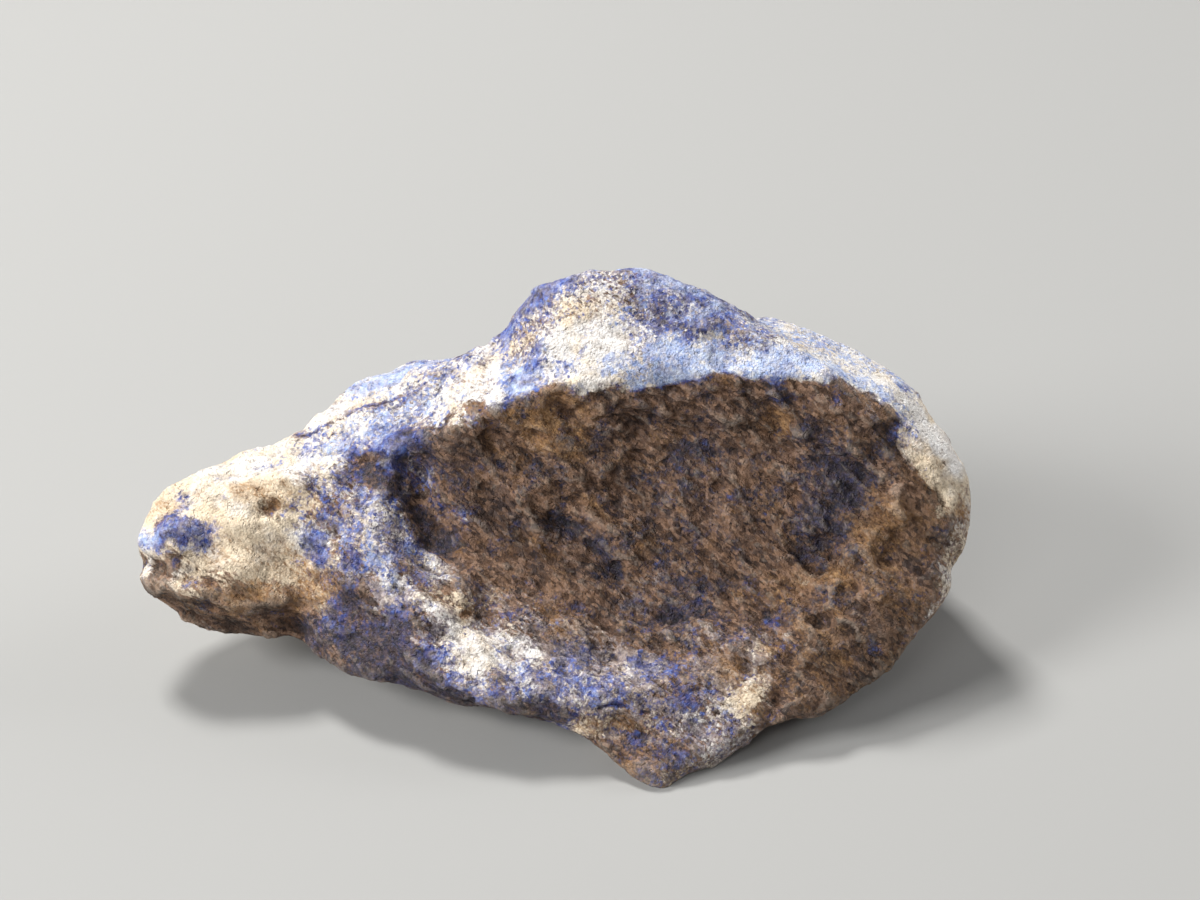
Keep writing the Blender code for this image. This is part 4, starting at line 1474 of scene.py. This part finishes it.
@dataclass
class RockFinish:
    """The one material of the stone: five minerals laid over each other by their shares."""

    effects: RockEffects
    blue_depth: BlueDepth = BlueDepth()
    iron_stain: IronStain = IronStain()
    hollow_shade_and_wear: HollowShadeAndWear = HollowShadeAndWear()
    # a crust share above 1 darkens the rock: thick crust, and painted shade under the snout, on the lip and
    # in pits and grooves
    thick_crust_and_shade: Ramp = Ramp(1.0, 1.5, 0.62)
    thick_crust_and_shade_tint: Colour = (0.36, 0.34, 0.33)
    stretch: float = 2.1
    grit_grain: float = 0.2
    grit_pit: float = 0.45
    bump_depth: float = 0.21
    bump_strength: float = 0.75
    facet_shine: float = 0.3
    specular_level: float = 0.4

    def build(self) -> bpy.types.Material:
        """Makes the material.

        Returns:
            The new material.
        """
        material = bpy.data.materials.new(ROCK_SLOT)
        material.use_nodes = True
        graph = NodeGraph(material.node_tree)
        places = graph.group(self.effects.places, "places", Stretch=self.stretch)
        plain, grained = places["Plain"], places["Grained"]
        look = Look(self.tones(graph, HOST, grained), HOST.roughness)
        look = self.lay(graph, look, CALCITE, Share.WHITE, plain)
        look = look._replace(colour=self.stain(graph, look.colour, plain))
        look = self.lay(graph, look, CRUST, Share.CRUST, grained)
        look = look._replace(colour=self.darken_thick_crust_and_shade(graph, look.colour))
        look = self.lay(graph, look, OCHRE, Share.OCHRE, grained)
        look = self.lay(graph, look, LAZURITE, Share.BLUE, plain)
        look = look._replace(colour=self.shade_hollows_and_light_high_spots(graph, look.colour))
        grit = graph.group(self.effects.grit, "grit", Place=plain, Grain_Size=self.grit_grain,
                           Pit_Size=self.grit_pit)
        shine = graph.swing(grit["Facet"], self.facet_shine)
        bump = graph.add("ShaderNodeBump", None, Strength=self.bump_strength, Distance=self.bump_depth * MM,
                         Height=grit["Height"])
        shader = material.node_tree.nodes["Principled BSDF"]
        shader.inputs["Specular IOR Level"].default_value = self.specular_level
        graph.feed(shader, "Base_Color", look.colour)
        graph.feed(shader, "Roughness", graph.math("SUBTRACT", look.roughness, shine, clamp=True))
        graph.feed(shader, "Normal", bump.outputs["Normal"])
        return material

    def lay(self, graph: NodeGraph, under: Look, mineral: MineralFinish, share: Share,
            place: Socket) -> Look:
        """Lays a mineral over what is there.

        Args:
            graph: the material's graph.
            under: the look of what it covers.
            mineral: which one.
            share: the attribute that holds its share.
            place: where to look.

        Returns:
            The look of both.
        """
        covered = graph.group(self.effects.coverage, mineral.name, Place=place, Seed=mineral.seed,
                              Share=graph.attribute(share.value),
                              Fineness=graph.attribute(Share.FINENESS.value), Patch_Size=mineral.patch,
                              Grain_Size=mineral.grain, Grain_Weight=mineral.grain_weight,
                              Softness=mineral.softness, Thinness=mineral.thinness)["Mask"]
        own = self.blue(graph, place) if mineral is LAZURITE else self.tones(graph, mineral, place)
        return Look(graph.mix(covered, under.colour, own),
                    graph.mix_numbers(covered, under.roughness, mineral.roughness))

    def tones(self, graph: NodeGraph, mineral: MineralFinish, place: Socket) -> Socket:
        """A mineral's own mottled colour.

        Args:
            graph: the material's graph.
            mineral: whose colour it is.
            place: where to look.

        Returns:
            A colour socket.
        """
        return graph.group(self.effects.mottle, mineral.name, Place=place, Dark=mineral.dark,
                           Middle=mineral.middle, Light=mineral.light, Size=mineral.size,
                           Grain_Size=mineral.grain, Grain_Contrast=mineral.contrast)["Colour"]

    def blue(self, graph: NodeGraph, place: Socket) -> Socket:
        """The colour of lazurite, from powdery pale blue to navy.

        Args:
            graph: the material's graph.
            place: where to look.

        Returns:
            A colour socket.
        """
        drift = graph.cloud(place, self.blue_depth.drift_scale, self.blue_depth.drift)
        depth = graph.total(graph.attribute(Share.DEPTH.value), drift)
        paler = graph.ramp(depth, *self.blue_depth.pale)
        darker = graph.ramp(depth, *self.blue_depth.navy)
        blue = graph.mix(paler, self.tones(graph, LAZURITE, place), self.tones(graph, POWDER_BLUE, place))
        return graph.mix(darker, blue, self.tones(graph, NAVY, place))

    def stain(self, graph: NodeGraph, colour: Socket, place: Socket) -> Socket:
        """Stains the rock with iron, most where there is ochre.

        Args:
            graph: the material's graph.
            colour: the rock's colour before it.
            place: where to look.

        Returns:
            The stained colour.
        """
        drift = graph.cloud(place, self.iron_stain.drift_scale, self.iron_stain.drift)
        level = graph.total(graph.attribute(Share.OCHRE.value), drift)
        return graph.mix(graph.ramp(level, *self.iron_stain.ramp), colour, self.iron_stain.tint, "MULTIPLY")

    def darken_thick_crust_and_shade(self, graph: NodeGraph, colour: Socket) -> Socket:
        """Darkens the rock where its crust share is above 1: thick crust, and painted shade where shade
        markings lay such a share.
        """
        thick = graph.ramp(graph.attribute(Share.CRUST.value), *self.thick_crust_and_shade)
        return graph.mix(thick, colour, self.thick_crust_and_shade_tint, "MULTIPLY")

    def shade_hollows_and_light_high_spots(self, graph: NodeGraph, colour: Socket) -> Socket:
        """Darkens the hollows of the skin with dirt and painted shade, and makes its high spots paler with
        wear and painted highlight.

        Args:
            graph: the material's graph.
            colour: the clean rock's colour.

        Returns:
            The colour with its dirt, painted shade, wear and painted highlight.
        """
        shade_and_wear = self.hollow_shade_and_wear
        fine = graph.attribute(FINE_HOLLOW)
        wide = graph.attribute(WIDE_HOLLOW)
        # painted shade and dirt darken the hollows; wear and painted highlight make the high spots paler
        dirt_and_shade = graph.total(graph.ramp(fine, *shade_and_wear.fine_dirt_and_shade), graph.ramp(wide, *shade_and_wear.wide_dirt_and_shade))
        shaded = graph.mix(dirt_and_shade, colour, shade_and_wear.dirt_and_shade_tint, "MULTIPLY")
        rub_and_highlight = graph.total(graph.ramp(fine, *shade_and_wear.fine_rub_and_highlight), graph.ramp(wide, *shade_and_wear.wide_rub_and_highlight))
        return graph.mix(rub_and_highlight, shaded, graph.mix(shade_and_wear.rub_and_highlight_share, shaded, shade_and_wear.rub_and_highlight_colour))


# ---------------------------------------------------------------------------
# Studio
# ---------------------------------------------------------------------------


@dataclass(frozen=True)
class SoftLight:
    """A square soft light that looks at the stone. Lengths here are in metres."""

    name: str
    direction: Point
    distance: float
    side: float
    power: float
    colour: Colour = (1.0, 1.0, 1.0)

    def build(self, target: Vector) -> None:
        """Hangs the light.

        Args:
            target: what it looks at.
        """
        lamp = bpy.data.lights.new(self.name, "AREA")
        lamp.size = self.side
        lamp.energy = self.power
        lamp.color = self.colour
        item = place_item(self.name, lamp)
        way = Vector(self.direction).normalized()
        item.location = target + way * self.distance
        item.rotation_euler = (-way).to_track_quat("-Z", "Y").to_euler()


@dataclass
class Studio:
    """A pale floor, soft light and the camera. Lengths here are in metres, the lens's in millimetres."""

    floor_side: float = 3.0
    floor_colour: Colour = (0.32, 0.32, 0.315)
    floor_roughness: float = 0.9
    sky_colour: Colour = (1.0, 1.0, 1.0)
    sky_strength: float = 0.165
    target: Point = (0.00361, -0.00034, 0.01833)
    elevation: float = 35.0
    distance: float = 0.20434
    lens: float = 80.0
    sensor_width: float = 36.0
    nearest_seen: float = 0.005
    lights: tuple[SoftLight, ...] = (
        SoftLight("key", (-0.28, 0.44, 0.85), 0.55, 0.12, 3.45, (1.0, 0.985, 0.96)),
        SoftLight("side", (-0.80, -0.30, 0.53), 0.60, 0.22, 4.0, (1.0, 0.99, 0.97)),
        SoftLight("fill", (-0.28, -0.70, 0.64), 0.60, 0.22, 0.66),
        SoftLight("rim", (0.86, 0.30, 0.42), 0.60, 0.25, 1.3),
    )

    def build(self) -> None:
        """Makes the floor, the world, the lights and the camera."""
        self.build_floor()
        self.build_sky()
        for light in self.lights:
            light.build(Vector(self.target))
        self.build_camera()
        bpy.context.scene.view_settings.view_transform = "Standard"

    def build_floor(self) -> None:
        """Lays the floor that the stone rests on."""
        shape = bmesh.new()
        bmesh.ops.create_grid(shape, x_segments=1, y_segments=1, size=self.floor_side / 2.0)
        floor = place_mesh("floor", shape)
        material = bpy.data.materials.new("floor_paper")
        material.use_nodes = True
        shader = material.node_tree.nodes["Principled BSDF"]
        shader.inputs["Base Color"].default_value = (*self.floor_colour, 1.0)
        shader.inputs["Roughness"].default_value = self.floor_roughness
        floor.data.materials.append(material)

    def build_sky(self) -> None:
        """Fills the room with even light."""
        world = bpy.data.worlds.new("studio")
        world.use_nodes = True
        back = world.node_tree.nodes["Background"]
        back.inputs["Color"].default_value = (*self.sky_colour, 1.0)
        back.inputs["Strength"].default_value = self.sky_strength
        bpy.context.scene.world = world

    def build_camera(self) -> None:
        """Sets the camera in front of the stone, looking down on it."""
        lens = bpy.data.cameras.new("camera")
        lens.lens = self.lens
        lens.sensor_width = self.sensor_width
        lens.clip_start = self.nearest_seen
        camera = place_item("camera", lens)
        tip = math.radians(self.elevation)
        ahead = Vector((0.0, math.cos(tip), -math.sin(tip)))
        camera.location = Vector(self.target) - ahead * self.distance
        camera.rotation_euler = ahead.to_track_quat("-Z", "Y").to_euler()
        bpy.context.scene.camera = camera


def main() -> None:
    """Builds the stone and the studio."""
    logging.basicConfig(level=logging.INFO, format="%(name)s: %(message)s")
    skin = RockSkin()
    stone = skin.build(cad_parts[STONE_NODE])
    finish = RockFinish(RockEffects(skin.grain_turn))
    stone.data.materials.clear()
    stone.data.materials.append(finish.build())
    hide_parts(STONE_NODE)
    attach(stone, "root")
    log.info("%s: %d vertices, %d faces", stone.name, len(stone.data.vertices), len(stone.data.polygons))
    Studio().build()
    log.info("studio is set")


if __name__ == "__main__":
    main()
